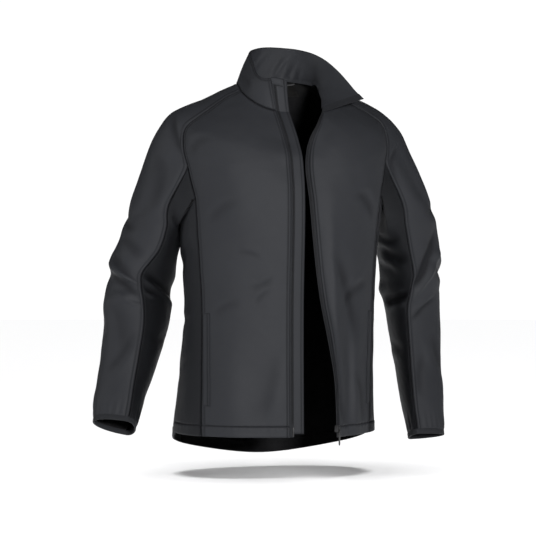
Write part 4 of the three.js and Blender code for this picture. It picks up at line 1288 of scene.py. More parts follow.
@dataclass(frozen=True)
class Bead:
    """Small rounded rod that repeats along a run: a stitch or a tooth of the zip."""

    length: float
    radius: float
    rise: float
    bow: float
    sides: int = 5
    rings: int = 3

    def lay(self, places: Array, tangents: Array, normals: Array) -> tuple[Array, list[Array]]:
        """Rods about the places, along the tangents: each ring is a circle whose radius is a power
        of the distance to the rod's end, and the rod's ends are bent down into the cloth.

        Args:
            places: Middles of the rods.
            tangents: Their directions.
            normals: Directions off the cloth.

        Returns:
            All the vertices, and arrays of faces.
        """
        aside = unit(np.cross(tangents, normals))
        t = np.linspace(-1, 1, self.rings)
        turn = np.arange(self.sides) * (2 * np.pi / self.sides)
        girth = self.radius * np.maximum(1 - np.abs(t) ** 2.5, 0.12)
        lift = self.rise - self.bow * t**2
        along = (t * self.length / 2)[None, :, None, None] * tangents[:, None, None]
        up = (lift[:, None] + girth[:, None] * np.sin(turn))[None, ..., None] * normals[:, None, None]
        out = (girth[:, None] * np.cos(turn))[None, ..., None] * aside[:, None, None]
        vertices = (places[:, None, None] + along + up + out).reshape(-1, 3)
        size = self.rings * self.sides
        shift = (np.arange(len(places)) * size)[:, None, None]
        bands = (grid_quads(self.rings, self.sides, True)[None] + shift).reshape(-1, 4)
        low = (np.arange(self.sides)[::-1][None, None] + shift).reshape(-1, self.sides)
        high = (np.arange(size - self.sides, size)[None, None] + shift).reshape(-1, self.sides)
        return vertices, [bands[:, ::-1], low[:, ::-1], high[:, ::-1]]


STITCH_PITCH = 3.2
STITCH = Bead(length=2.7, radius=0.36, rise=0.16, bow=0.42)


def sew(
    name: str, runs: list[tuple[Run, tuple[float, float]]], slot: Slot = Slot.SHELL,
) -> bpy.types.Object:
    """One piece of all the stitches of some runs.

    Args:
        name: Name of the piece.
        runs: Each run, with the lengths that stay unsewn at its start and its end.
        slot: Material slot of the record.

    Returns:
        The piece.
    """
    parts = [run.even(STITCH_PITCH, skip) for run, skip in runs]
    places, tangents, normals = (np.concatenate([part[k] for part in parts]) for k in range(3))
    vertices, faces = STITCH.lay(places, tangents, normals)
    return settle(mesh_object(name, vertices, faces, None, [THREAD]), slot)


# Node trees

TURN = 2 * math.pi
MIX_INPUTS = (0, 6, 7)     # share and two colours of a mix node of colours
MIX_OUTPUT = 2


def operator(operation: str, swapped: bool = False) -> Callable[["Value", Any], "Value"]:
    """Method for one of Python's operators, which adds a maths node.

    Args:
        operation: The node's operation.
        swapped: True where the value is the operator's right side.

    Returns:
        The method.
    """
    def method(value: "Value", other: Any) -> "Value":
        """Value of the node."""
        return value._maths(operation, *((other, value) if swapped else (value, other)))
    return method


class Value:
    """Socket that Python's operators work on, each one adding a maths node."""

    def __init__(self, tree: "Tree", socket: Any) -> None:
        """Keeps the socket and the tree it is in."""
        self.tree, self.socket = tree, socket

    def _maths(self, operation: str, *values: Any) -> "Value":
        """Value of a maths node."""
        node = self.tree.nodes.new("ShaderNodeMath")
        node.operation = operation
        for k, value in enumerate(values):
            self.tree.connect(value, node.inputs[k])
        return Value(self.tree, node.outputs[0])

    __add__, __radd__ = operator("ADD"), operator("ADD", True)
    __sub__, __rsub__ = operator("SUBTRACT"), operator("SUBTRACT", True)
    __mul__, __rmul__ = operator("MULTIPLY"), operator("MULTIPLY", True)

    def sine(self) -> "Value":
        """Sine of the value, in radians."""
        return self._maths("SINE", self)

    def size(self) -> "Value":
        """The value without its sign."""
        return self._maths("ABSOLUTE", self)

    def ramp(self, start: float, end: float, low: float = 0, high: float = 1) -> "Value":
        """Smooth passage from low to high while the value goes from start to end.

        Args:
            start: Value where the passage starts.
            end: Value where it ends.
            low: Result before it.
            high: Result after it.

        Returns:
            The result.
        """
        return self.tree.node("ShaderNodeMapRange", {"interpolation_type": "SMOOTHSTEP"}, {
            "Value": self, "From Min": start, "From Max": end, "To Min": low, "To Max": high,
        })["Result"]


class Outputs:
    """Outputs of a node, as values, by name."""

    def __init__(self, tree: "Tree", node: Any) -> None:
        """Keeps the node."""
        self.tree, self.node = tree, node

    def __getitem__(self, name: str | int) -> Value:
        """Output by its name or number."""
        return Value(self.tree, self.node.outputs[name])


class Tree:
    """A material's or the world's nodes."""

    def __init__(self, tree: bpy.types.NodeTree) -> None:
        """Keeps the tree and its lists."""
        self.nodes, self.links = tree.nodes, tree.links

    def connect(self, value: Any, socket: Any) -> None:
        """Links a value to a socket, or sets a plain number, colour or vector on it."""
        if isinstance(value, Value):
            self.links.new(value.socket, socket)
        else:
            socket.default_value = value

    def node(self, kind: str, settings: dict | None = None, inputs: dict | None = None) -> Outputs:
        """Adds a node: first its settings, then its inputs.

        Args:
            kind: Type of the node.
            settings: Values of its attributes.
            inputs: Values or links of its inputs.

        Returns:
            The node's outputs.
        """
        node = self.nodes.new(kind)
        for name, value in (settings or {}).items():
            setattr(node, name, value)
        for name, value in (inputs or {}).items():
            self.connect(value, node.inputs[name])
        return Outputs(self, node)

    def cloth_place(self) -> tuple[Value, Value]:
        """Place on the flat cloth, across and along, in metres."""
        place = self.node("ShaderNodeUVMap", {"uv_map": "cloth"})["UV"]
        parts = self.node("ShaderNodeSeparateXYZ", {}, {"Vector": place})
        return parts["X"], parts["Y"]

    def noise(self, scale: float, detail: float = 3, rough: float = 0.5) -> Value:
        """Noise of about 0 to 1, on the object's own coordinates."""
        place = self.node("ShaderNodeTexCoord")["Object"]
        return self.node("ShaderNodeTexNoise", {}, {
            "Vector": place, "Scale": scale, "Detail": detail, "Roughness": rough,
        })["Fac"]

    def mix(self, share: Value, first: Value | tuple, second: Value | tuple) -> Value:
        """Colour between two, each a varying or a plain one, by a share.

        Args:
            share: How far from the first to the second.
            first: Colour at 0.
            second: Colour at 1.

        Returns:
            The colour.
        """
        node = self.nodes.new("ShaderNodeMix")
        node.data_type = "RGBA"
        ends = (end if isinstance(end, Value) else (*end, 1) for end in (first, second))
        for value, number in zip((share, *ends), MIX_INPUTS):
            self.connect(value, node.inputs[number])
        return Value(self, node.outputs[MIX_OUTPUT])

    def bump(self, height: Value, distance: float, strength: float = 1) -> Value:
        """Normal roughened by a height of 0 to 1 over a distance in metres."""
        return self.node("ShaderNodeBump", {}, {
            "Height": height, "Distance": distance, "Strength": strength,
        })["Normal"]

    def finish(self, colour: Value, roughness: Value, normal: Value, **others: Any) -> None:
        """Ends the tree in a shader with these inputs and the others given, by name.

        Args:
            colour: Base colour.
            roughness: Roughness.
            normal: Bumped normal.
            others: More inputs, with _ for a space.
        """
        names = {name.replace("_", " "): value for name, value in others.items()}
        shader = self.node("ShaderNodeBsdfPrincipled", {}, {
            **names, "Base Color": colour, "Roughness": roughness, "Normal": normal,
        })
        output = self.nodes.new("ShaderNodeOutputMaterial")
        self.connect(shader["BSDF"], output.inputs["Surface"])


@dataclass(frozen=True)
class Woven(Finish):
    """Fine woven cloth: two sets of threads crossing in a twill, with uneven yarn and dye, and painted
    shade in its seams, stitch lines and crease troughs.
    """

    light: tuple[float, float, float] = (0.056, 0.059, 0.067)
    dark: tuple[float, float, float] = (0.040, 0.042, 0.049)
    # deep is the colour of the painted shade, and shaded how far the cloth goes towards it
    deep: tuple[float, float, float] = (0.006, 0.006, 0.008)
    thread: float = 0.00075
    relief: float = 0.00004
    roughness: float = 0.62
    sheen: float = 0.01
    shaded: float = 0.82

    def dress(self, tree: "Tree") -> None:
        """Twill bump from the cloth's coordinates; colour by yarn and dye, with painted shade in the seams,
        stitch lines and crease troughs.
        """
        u, v = tree.cloth_place()
        warp = (u * (TURN / self.thread)).sine()
        weft = (v * (TURN / self.thread)).sine()
        twill = ((u + v) * (TURN / (2.6 * self.thread))).sine()
        yarn = tree.noise(900, 2, 0.6)
        height = 0.5 + 0.18 * warp + 0.18 * weft + 0.14 * twill + 0.35 * (yarn - 0.5)
        dye = tree.noise(9, 4, 0.6)
        groove = tree.node("ShaderNodeAttribute", {"attribute_name": "groove"})["Fac"]
        share = (0.5 + 0.8 * (dye - 0.5) + 0.6 * (height - 0.5)).ramp(0, 1)
        cloth = tree.mix(share, self.dark, self.light)
        # painted shade: the cloth goes towards the deep colour in seams, stitch lines and crease troughs
        colour = tree.mix(groove * self.shaded, cloth, self.deep)
        rough = self.roughness + 0.10 * (dye - 0.5) + 0.2 * groove
        tree.finish(colour, rough, tree.bump(height, self.relief), Sheen_Weight=self.sheen,
                    Sheen_Roughness=0.5, Specular_IOR_Level=0.3, Diffuse_Roughness=0.0)


@dataclass(frozen=True)
class Fleece(Finish):
    """Short black fleece: small tufts and a softer, patchy lay of the pile."""

    def dress(self, tree: "Tree") -> None:
        """Bump of tufts and nap; colour by the lay of the pile."""
        tufts = tree.noise(1500, 3, 0.7)
        lay = tree.noise(60, 3, 0.6)
        height = 0.6 * tufts + 0.4 * lay
        colour = tree.mix(height.ramp(0.3, 0.7), (0.010, 0.010, 0.011), (0.022, 0.022, 0.024))
        tree.finish(colour, 0.92 + 0.06 * (lay - 0.5), tree.bump(height, 0.0006),
                    Sheen_Weight=0.08, Sheen_Roughness=0.6, Specular_IOR_Level=0.15)


@dataclass(frozen=True)
class Tape(Finish):
    """Woven zip tape: a herringbone with a firm edge."""

    def dress(self, tree: "Tree") -> None:
        """Herringbone bump: slanting ribs that turn back every few millimetres."""
        u, v = tree.cloth_place()
        zigzag = (u * (TURN / 0.004)).sine().size() * 0.0016
        rib = ((v + zigzag) * (TURN / 0.0011)).sine()
        yarn = tree.noise(1200, 2, 0.6)
        height = 0.5 + 0.35 * rib + 0.3 * (yarn - 0.5)
        colour = tree.mix(height.ramp(0.2, 0.8), (0.024, 0.025, 0.029), (0.044, 0.046, 0.052))
        tree.finish(colour, 0.72 + 0.1 * (yarn - 0.5), tree.bump(height, 0.00012), Specular_IOR_Level=0.3)


@dataclass(frozen=True)
class Elastic(Finish):
    """Elastic binding: fine ribs round the cuff over covered rubber."""

    light: tuple[float, float, float] = (0.050, 0.053, 0.060)
    dark: tuple[float, float, float] = (0.022, 0.023, 0.027)

    def dress(self, tree: "Tree") -> None:
        """Ribs across the band and yarn along them."""
        u, v = tree.cloth_place()
        rib = (u * (TURN / 0.0013)).sine()
        cross = (v * (TURN / 0.0009)).sine()
        yarn = tree.noise(1100, 2, 0.6)
        height = 0.5 + 0.3 * rib + 0.12 * cross + 0.25 * (yarn - 0.5)
        colour = tree.mix(height.ramp(0.2, 0.85), self.dark, self.light)
        tree.finish(colour, 0.7 + 0.12 * (yarn - 0.5), tree.bump(height, 0.0002), Sheen_Weight=0.05,
                    Specular_IOR_Level=0.3)


@dataclass(frozen=True)
class Satin(Finish):
    """Plain woven label: fine satin threads that catch a little light."""

    def dress(self, tree: "Tree") -> None:
        """Close threads along the label, with a slightly uneven weave."""
        u, v = tree.cloth_place()
        thread = (v * (TURN / 0.0006)).sine()
        slant = ((u * 3 + v) * (TURN / 0.004)).sine()
        yarn = tree.noise(700, 3, 0.6)
        height = 0.5 + 0.25 * thread + 0.15 * slant + 0.3 * (yarn - 0.5)
        colour = tree.mix(height.ramp(0.25, 0.8), (0.010, 0.0095, 0.009), (0.019, 0.018, 0.017))
        tree.finish(colour, 0.46 + 0.2 * (yarn - 0.5), tree.bump(height, 0.00005), Specular_IOR_Level=0.4)


@dataclass(frozen=True)
class Thread(Finish):
    """Sewing thread: two twisted plies, a little glossier than the cloth."""

    light: tuple[float, float, float] = (0.034, 0.036, 0.042)
    dark: tuple[float, float, float] = (0.016, 0.017, 0.021)

    def dress(self, tree: "Tree") -> None:
        """Twist and a slightly uneven colour."""
        ply = tree.noise(2600, 2, 0.5)
        dye = tree.noise(120, 2, 0.5)
        colour = tree.mix((0.5 * ply + 0.5 * dye).ramp(0.3, 0.7), self.dark, self.light)
        tree.finish(colour, 0.5 + 0.2 * (ply - 0.5), tree.bump(ply, 0.00008), Specular_IOR_Level=0.4)


@dataclass(frozen=True)
class Coil(Finish):
    """Nylon zip coil: black monofilament, scuffed by use."""

    def dress(self, tree: "Tree") -> None:
        """Scuffs that lighten and dull the filament."""
        scuff = tree.noise(1800, 3, 0.7)
        colour = tree.mix(scuff.ramp(0.45, 0.75), (0.006, 0.006, 0.007), (0.020, 0.020, 0.022))
        tree.finish(colour, 0.45 + 0.3 * (scuff - 0.5), tree.bump(scuff, 0.00004), Specular_IOR_Level=0.25)


@dataclass(frozen=True)
class Lacquer(Finish):
    """Black lacquered zip metal, rubbed at its edges."""

    def dress(self, tree: "Tree") -> None:
        """Lacquer with orange peel, thinner and duller where it is rubbed."""
        rub = tree.noise(420, 4, 0.65)
        peel = tree.noise(1500, 2, 0.4)
        share = rub.ramp(0.62, 0.85)
        colour = tree.mix(share, (0.007, 0.007, 0.008), (0.05, 0.05, 0.052))
        tree.finish(colour, 0.42 + 0.22 * rub, tree.bump(peel, 0.00003), Metallic=0.15 + 0.5 * share,
                    Coat_Weight=0.25 - 0.2 * share, Coat_Roughness=0.3)


@dataclass(frozen=True)
class Ground(Finish):
    """Plain pale paper sweep of the studio."""

    colour: tuple[float, float, float] = (0.93, 0.93, 0.935)

    def dress(self, tree: "Tree") -> None:
        """Matt paper with a very faint tooth."""
        tooth = tree.noise(40, 3, 0.5)
        darker = tuple(part * 0.985 for part in self.colour)
        colour = tree.mix(tooth.ramp(0.3, 0.7), darker, self.colour)
        tree.finish(colour, 0.95 + 0.02 * tooth, tree.bump(tooth, 0.0002, 0.3), Specular_IOR_Level=0.1)


SHELL_CLOTH = Woven("shell_cloth", Slot.SHELL)
FLEECE = Fleece("fleece_face", Slot.SHELL)
TAPE_WEAVE = Tape("tape_weave", Slot.TAPE)
COIL = Coil("zip_coil", Slot.TAPE)
ELASTIC = Elastic("elastic_rib", Slot.BINDING)
LOOP_TAPE = Elastic("loop_tape", Slot.BINDING, (0.20, 0.20, 0.205), (0.12, 0.12, 0.125))
SATIN = Satin("label_satin", Slot.LABEL)
THREAD = Thread("sewing_thread", Slot.SHELL)
LACQUER = Lacquer("black_lacquer", Slot.METAL)
PAPER = Ground("studio_paper", Slot.SHELL)


# The jacket's panels

GATHER_LIFT = 1.5
GATHER_PITCH = 12.5
GATHER_START = 46      # from the sleeve's end
RIDGE_LIFT = 0.35

FRONT_CREASES = {
    Side.RIGHT: table(
        Crease, ((84, 362), (124, 352), 4.5, -1.2, 3), ((104, 290), (146, 308), 5, -1.4, -3),
        ((112, 262), (140, 284), 4.5, -1.2, 3), ((30, 240), (78, 262), 8, -1.1, 4),
        ((30, 420), (84, 458), 10, -1.3, 5), ((20, 560), (62, 606), 9, -1.6, 3),
        ((150, 150), (120, 40), 14, -1.3, 6),
    ),
    Side.LEFT: table(
        Crease, ((116, 345), (66, 196), 12, -3.0, -7), ((126, 150), (92, 28), 11, -2.8, 6),
        ((40, 300), (92, 262), 9, -2.2, 4), ((30, 430), (80, 472), 10, -2.4, 5),
        ((60, 120), (34, 36), 10, -2.2, -4),
    ),
}
SIDE_CREASES = {
    Side.RIGHT: table(
        Crease, ((20, 380), (120, 340), 12, -2.4, 6), ((40, 250), (140, 230), 11, -2.0, -5),
        ((30, 150), (120, 110), 13, -1.8, 6), ((5, 412), (70, 412), 34, 5.0, 0, 0),
    ),
    Side.LEFT: table(
        Crease, ((30, 372), (126, 350), 11, -2.4, -6), ((30, 262), (120, 226), 12, -2.0, 5),
        ((44, 140), (130, 96), 12, -1.8, -5),
    ),
}
BACK_CREASES = table(
    Crease, ((-130, 476), (-34, 424), 14, -3.0, 6), ((126, 470), (38, 434), 13, -2.8, -6),
    ((-98, 252), (64, 262), 11, -2.6, 8), ((-60, 204), (118, 190), 12, -2.4, -6),
    ((-30, 590), (70, 604), 15, -1.8, 6), ((-90, 120), (-20, 96), 12, -1.6, 4),
)
OUTER_CREASES = {
    Side.RIGHT: table(
        Crease, ((-4, 454), (88, 408), 5, 3.6, -4, 0), ((12, 436), (84, 396), 8, -3.4, -4, 0),
        ((2, 476), (82, 430), 8, -4.0, -4, 0), ((-2, 496), (48, 468), 5, 2.6, 8, 0),
        ((46, 138), (3, 196), 9, -3.6, 4), ((70, 330), (140, 300), 11, -3.0, 5),
        ((92, 500), (60, 606), 13, 3.0, 6), ((30, 380), (96, 352), 10, -2.6, -4),
        ((20, 560), (56, 640), 9, -2.0, 5), ((70, 220), (24, 262), 12, -2.2, 4),
    ),
    Side.LEFT: table(
        Crease, ((70, 350), (-6, 460), 9, -8.5, 5, 0), ((88, 372), (8, 476), 6, 4.6, 5, 0),
        ((64, 478), (12, 522), 5, -3.6, 3), ((34, 200), (8, 242), 8, -3.0, 3),
        ((70, 300), (130, 322), 11, -3.0, -5), ((90, 430), (160, 446), 10, 3.6, 4, 0.8),
        ((60, 560), (90, 640), 12, -2.6, 5), ((30, 600), (16, 680), 9, -2.0, 4),
    ),
}
UNDER_CREASES = {
    Side.RIGHT: table(
        Crease, ((-4, 456), (34, 470), 5, 3.4, 4, 0), ((8, 414), (108, 462), 8, -5.0, 3, 0.6),
        ((86, 474), (146, 474), 12, 2.4, 0, 0), ((60, 312), (160, 312), 52, 12.0, 0, 0),
        ((20, 560), (90, 530), 10, -2.2, 4), ((12, 262), (60, 300), 9, -2.4, 4),
    ),
    Side.LEFT: table(
        Crease, ((-4, 462), (80, 470), 9, -6.5, 3, 0.5), ((78, 452), (140, 450), 12, 4.2, 0, 0),
        ((10, 380), (70, 352), 12, -5.0, 4, 0.4), ((24, 330), (92, 300), 10, -2.6, 4),
        ((18, 590), (80, 560), 10, -2.2, -4), ((40, 400), (120, 392), 11, -2.4, 4),
    ),
}
COLLAR_CREASES = table(
    Crease, ((200, 10), (205, 54), 7, -0.9), ((262, 2), (255, 52), 6, -2.4, 2),
    ((288, 0), (282, 40), 7, -2.8, -2), ((312, 2), (300, 34), 6, -2.2),
    ((60, 30), (120, 18), 8, -1.6, 3),
)


def edge_ridge(panel: Panel) -> Array:
    """The turned front edge is two layers thick, as far as its line of stitches."""
    return RIDGE_LIFT * smooth_step(STITCH_FROM_EDGE + 3.5, STITCH_FROM_EDGE + 0.5, panel.away[Edge.END])


def cuff_gathers(panel: Panel, end: float) -> Array:
    """Gathers over the elastic: folds along the sleeve that grow towards its end and are held
    flat in the binding itself.

    Args:
        panel: Panel of the sleeve.
        end: Length of the sleeve.

    Returns:
        Lift of each point.
    """
    run = panel.away[Edge.START]
    held = 1 - 0.8 * smooth_step(end - 9, end - 1, panel.along)
    strength = smooth_step(end - GATHER_START, end - 3, panel.along) * held * GATHER_LIFT
    wave = np.sin(2 * np.pi * run / GATHER_PITCH + 1.6 * np.sin(run / 23 + panel.seed))
    return strength * wave * (0.7 + 0.3 * np.sin(run / 17 + panel.seed))


@dataclass
class Shell:
    """Body and sleeves: the panels of bonded cloth, welded along their seams."""

    body: Body
    sleeves: dict[Side, Sleeve]
    collar: Collar
    panels: dict[str, Panel] = field(default_factory=dict)

    def __post_init__(self) -> None:
        """Lays out every panel."""
        for side in Side:
            self._front(side)
            self._side(side)
            self._outer(side)
            self._under(side)
        self._back()
        self._collar()

    def _keep(self, panel: Panel) -> None:
        """Keeps a panel by its name."""
        self.panels[panel.name] = panel

    def _front(self, side: Side) -> None:
        """Front panel, from the princess seam to the turned front edge.

        Args:
            side: The wearer's side.
        """
        places = steps_along(NECK_UP, HEM_STEPS)
        shares = steps_along(FRONT_WIDTH, EDGE_STEPS, (*EDGE_STEPS, 10)) / FRONT_WIDTH
        edge = Seam(Edge.END, depth=0.7, puff=0.25, pucker=0.12, stitches=(STITCH_FROM_EDGE,))
        seams = (Seam(Edge.START, stitches=TWIN_STITCHES), edge,
                 Seam(Edge.LOW, 0, 0, 0, (HEM_STITCH,), (2, 8)), Seam(Edge.HIGH))
        self._keep(Panel(
            f"front_{side.word}", lambda share, up: self.body.front(side, share, up), shares, places,
            side is Side.LEFT, seams, FRONT_CREASES[side], HEM_DEPTH, seed=2 + side.value,
            relief=edge_ridge,
        ))

    def _side(self, side: Side) -> None:
        """Side panel under the arm.

        Args:
            side: The wearer's side.
        """
        places = steps_along(ARMHOLE_LOW, HEM_STEPS)
        shares = steps_along(SIDE_WIDTH) / SIDE_WIDTH
        seams = (Seam(Edge.START), Seam(Edge.END), Seam(Edge.LOW, 0, 0, 0, (HEM_STITCH,), (2, 2)),
                 Seam(Edge.HIGH))
        self._keep(Panel(
            f"side_{side.word}", lambda share, level: self.body.side(side, share, level), shares, places,
            side is Side.RIGHT, seams, SIDE_CREASES[side], HEM_DEPTH, seed=6 + side.value,
        ))

    def _back(self) -> None:
        """Back in one piece with its dropped tail."""
        places = steps_along(NECK_UP, HEM_STEPS)
        shares = 2 * steps_along(BACK_WIDTH) / BACK_WIDTH - 1
        seams = (Seam(Edge.START, stitches=TWIN_STITCHES), Seam(Edge.END, stitches=TWIN_STITCHES),
                 Seam(Edge.LOW, 0, 0, 0, (HEM_STITCH,), (2, 2)), Seam(Edge.HIGH))
        self._keep(Panel("back", self.body.back, shares, places, True, seams, BACK_CREASES, HEM_DEPTH,
                         origin=0.5, seed=11))

    def _outer(self, side: Side) -> None:
        """Outer sleeve in one piece with its saddle strap.

        Args:
            side: The wearer's side.
        """
        sleeve = self.sleeves[side]
        places = steps_along(sleeve.end)
        shares = steps_along(OUTER_WIDTH) / OUTER_WIDTH
        seams = (Seam(Edge.START, stitches=TWIN_STITCHES), Seam(Edge.END, stitches=TWIN_STITCHES),
                 Seam(Edge.LOW), Seam(Edge.HIGH, 0.5, 0.2, 0.2))
        self._keep(Panel(
            f"sleeve_outer_{side.word}", sleeve.outer, shares, places, side is Side.LEFT, seams,
            OUTER_CREASES[side], seed=15 + side.value, relief=lambda panel: cuff_gathers(panel, sleeve.end),
        ))

    def _under(self, side: Side) -> None:
        """Under sleeve, which starts at the armhole.

        Args:
            side: The wearer's side.
        """
        sleeve = self.sleeves[side]
        places = ARMHOLE_AT + steps_along(sleeve.end - ARMHOLE_AT)
        shares = steps_along(UNDER_WIDTH) / UNDER_WIDTH
        seams = (Seam(Edge.START), Seam(Edge.END), Seam(Edge.LOW), Seam(Edge.HIGH, 0.5, 0.2, 0.2))
        self._keep(Panel(
            f"sleeve_under_{side.word}", sleeve.under, shares, places, side is Side.RIGHT, seams,
            UNDER_CREASES[side], seed=19 + side.value, relief=lambda panel: cuff_gathers(panel, sleeve.end),
        ))

    def _collar(self) -> None:
        """The collar's outer and inner leaf."""
        places = steps_along(COLLAR_TALL, EDGE_STEPS, EDGE_STEPS) / COLLAR_TALL
        shares = steps_along(self.collar.length) / self.collar.length
        low = Seam(Edge.LOW)
        rest = (Seam(Edge.HIGH, 0.6, 0.25, 0.15, (4.2,)), Seam(Edge.START, 0.5, 0.2, 0.1, (4.2,)),
                Seam(Edge.END, 0.5, 0.2, 0.1, (4.2,)))
        for name, depth in (("collar_outer", 0), ("collar_inner", LEAF + LAYER_GAP)):
            self._keep(Panel(name, self.collar.point, shares, places, True, (low, *rest), COLLAR_CREASES,
                             thick=LEAF, depth=depth, seed=23, tall=COLLAR_TALL))

    def weld(self) -> None:
        """Joins the panels' directions along the seams; the inner leaf follows the outer one."""
        weld([panel for name, panel in self.panels.items() if name != "collar_inner"])
        self.panels["collar_inner"].normals = self.panels["collar_outer"].normals
        for panel in self.panels.values():
            panel.shape()

    def build(self) -> None:
        """Builds each panel as a closed sheet in the place of its node, and its sewing."""
        for name, panel in self.panels.items():
            lining = SHELL_CLOTH if name.startswith("collar") else FLEECE
            piece = panel.build(SHELL_CLOTH, lining)
            settle(piece, Slot.SHELL, replaced=(name,))
            self._declare(name, panel)
            if name != "collar_inner":
                self._sew(name, panel)

    def _declare(self, name: str, panel: Panel) -> None:
        """Works out the panel's flat width and length and the sides of its cells, from its own formula's
        lengths, and keeps none of them.

        Args:
            name: Name of the node; not used.
            panel: Its panel.
        """
        wide = float(panel.away[Edge.START][:, -1].max()) * MM
        long = float(panel.away[Edge.LOW][-1].max()) * MM
        sides = np.diff(panel.bare, axis=1)[:-1], np.diff(panel.bare, axis=0)[:, :-1]

    def _sew(self, name: str, panel: Panel) -> None:
        """Every line of stitches that shows on the panel's face.

        Args:
            name: Name of the node.
            panel: Its panel.
        """
        runs = [(Run(*panel.line(seam.edge, line)), seam.skip)
                for seam in panel.seams for line in seam.stitches]
        if runs:
            sew(name + "_stitches", runs)


# The zip and what lies along it

EASE_REACH = 13        # the strips' direction is evened out over this length
TURNED_IN = 0.3        # share of its slope across that a strip on the right keeps past the edge
TOOTH_PITCH = 1.55
TOOTH = Bead(length=4.4, radius=0.62, rise=0.55, bow=0.25, sides=6)
TEETH_AT = 5.4         # from the tape's free edge
CORD_AT = 1.6
CORD_LIFT = 1.05       # of the cord that runs over the teeth
ZIP_SKIP = (26, 6)     # lengths without teeth at the tape's two ends
FLAP_FROM = 10
FLAP_STITCH = 5.2


@dataclass
class FrontStrips:
    """Zip tapes with their teeth, and the wind flap, along both turned front edges."""

    shell: Shell

    def _rows(self, side: Side, first: int) -> tuple[Array, Array, Array, Array]:
        """Edge, fold and normal of each row, hem to collar top, and the length run so far.

        Args:
            side: The wearer's side.
            first: Number of rows left out at the hem.

        Returns:
            Points, points, directions and lengths, a row of each.
        """
        front = self.shell.panels[f"front_{side.word}"]
        collar = self.shell.panels["collar_outer"]
        end = 0 if side is Side.RIGHT else -1
        fold_share = self.shell.collar.right_fold if side is Side.RIGHT else self.shell.collar.left_fold
        front_fold = self.shell.body.front(side, TAPE_START, front.places)
        collar_fold = self.shell.collar.point(fold_share, collar.places[1:])
        edge = np.concatenate([front.bare[:, -1], collar.bare[1:, end]])[first:]
        fold = np.concatenate([front_fold, collar_fold])[first:]
        normal = np.concatenate([front.normals[:, -1], collar.normals[1:, end]])[first:]
        run = lengths(edge[:, None], 0)[:, 0]
        return edge, fold, normal, run

    def strip(self, name: str, side: Side, past: Array, first: int, before: float, thick: float,
              seams: tuple[Seam, ...]) -> Panel:
        """Strip that starts under the turned edge and ends past it, behind the front or the collar.

        Args:
            name: Node that it takes the place of.
            side: The wearer's side.
            past: Lengths of the columns past the edge.
            first: Number of rows left out at the hem.
            before: Thickness of what lies before it.
            thick: Its own thickness.
            seams: Its edges.

        Returns:
            The shaped panel.
        """
        edge, fold, normal, run = self._rows(side, first)
        ease = hump(run[:, None], run[None, :], EASE_REACH)
        ease = ease / ease.sum(axis=1, keepdims=True)
        away, normal = ease @ (edge - fold), unit(ease @ normal)
        turned = away * np.array([1, TURNED_IN if side is Side.RIGHT else 1, 1])
        inwards = unit(away)[:, None] * np.minimum(past, 0)[None, :, None]
        outwards = unit(turned)[:, None] * np.maximum(past, 0)[None, :, None]
        points = edge[:, None] + inwards + outwards
        neck = run[len(self.shell.panels[f"front_{side.word}"].places) - 1 - first]
        leaves = 2 * LEAF + LAYER_GAP
        depth = CLOTH + (leaves - CLOTH) * smooth_step(neck - 12, neck + 4, run) + LAYER_GAP + before
        facing = np.broadcast_to(normal[:, None], points.shape).copy()
        panel = Panel(name, lambda share, place: points, past, run, side is Side.LEFT, seams,
                      thick=thick, depth=depth[:, None], waves=0, seed=31 + side.value, facing=facing)
        panel.shape()
        return panel

    def build(self) -> None:
        """Builds tapes, teeth, their sewn cords and the flap."""
        for side in Side:
            self._tape(side)
        self._flap()

    def _tape(self, side: Side) -> None:
        """One woven tape, the coil along it and the stitches that hold the coil.

        Args:
            side: The wearer's side.
        """
        past = np.concatenate([np.linspace(-TAPE_BEHIND, 0, 4), np.linspace(0.8, TAPE_BEYOND, 9)])
        plain = tuple(Seam(edge, 0.15, 0, 0.08) for edge in Edge)
        name = f"zip_tape_{side.word}"
        tape = self.strip(name, side, past, 0, 0, TAPE_CLOTH, plain)
        piece = settle(tape.build(TAPE_WEAVE, TAPE_WEAVE), Slot.TAPE, replaced=(name,))
        long = float(tape.places[-1])
        middle = Run(*tape.line(Edge.END, TAPE_BEYOND - TEETH_AT))
        places, tangents, normals = middle.even(TOOTH_PITCH, ZIP_SKIP)
        across = unit(np.cross(tangents, normals))
        vertices, faces = TOOTH.lay(places, across, normals)
        settle(mesh_object(f"zip_teeth_{side.word}", vertices, faces, None, [COIL]), Slot.TAPE)
        beside = Run(*tape.line(Edge.END, TAPE_BEYOND - CORD_AT))
        over = Run(middle.points + middle.normals * CORD_LIFT, middle.normals)
        sew(f"zip_cord_{side.word}", [(beside, ZIP_SKIP), (over, ZIP_SKIP)], Slot.TAPE)

    def _flap(self) -> None:
        """Wind flap: two layers of shell cloth with a line of stitches along the free edge."""
        free = FLAP_FROM + steps_along(FLAP_BEYOND - FLAP_FROM, (3,), EDGE_STEPS)
        past = np.concatenate([np.linspace(-TAPE_BEHIND, FLAP_FROM, 7), free])
        seams = (Seam(Edge.START, 0.2, 0, 0), Seam(Edge.END, 0.6, 0.2, 0.2, (FLAP_STITCH,)),
                 Seam(Edge.LOW, 0.6, 0.2, 0.2), Seam(Edge.HIGH, 0.4, 0, 0))
        flap = self.strip("wind_flap", Side.RIGHT, past, 4, TAPE_CLOTH + LAYER_GAP, FLAP_CLOTH, seams)
        piece = settle(flap.build(SHELL_CLOTH, SHELL_CLOTH), Slot.SHELL, replaced=("wind_flap",))
        wide = float(flap.away[Edge.START][:, -1].max()) * MM
        float(flap.places[-1]) * MM
        runs = [(Run(*flap.line(Edge.END, FLAP_STITCH)), (4, 6)), (Run(*flap.line(Edge.LOW, 3)), (3, 3))]
        sew("wind_flap_stitches", runs)


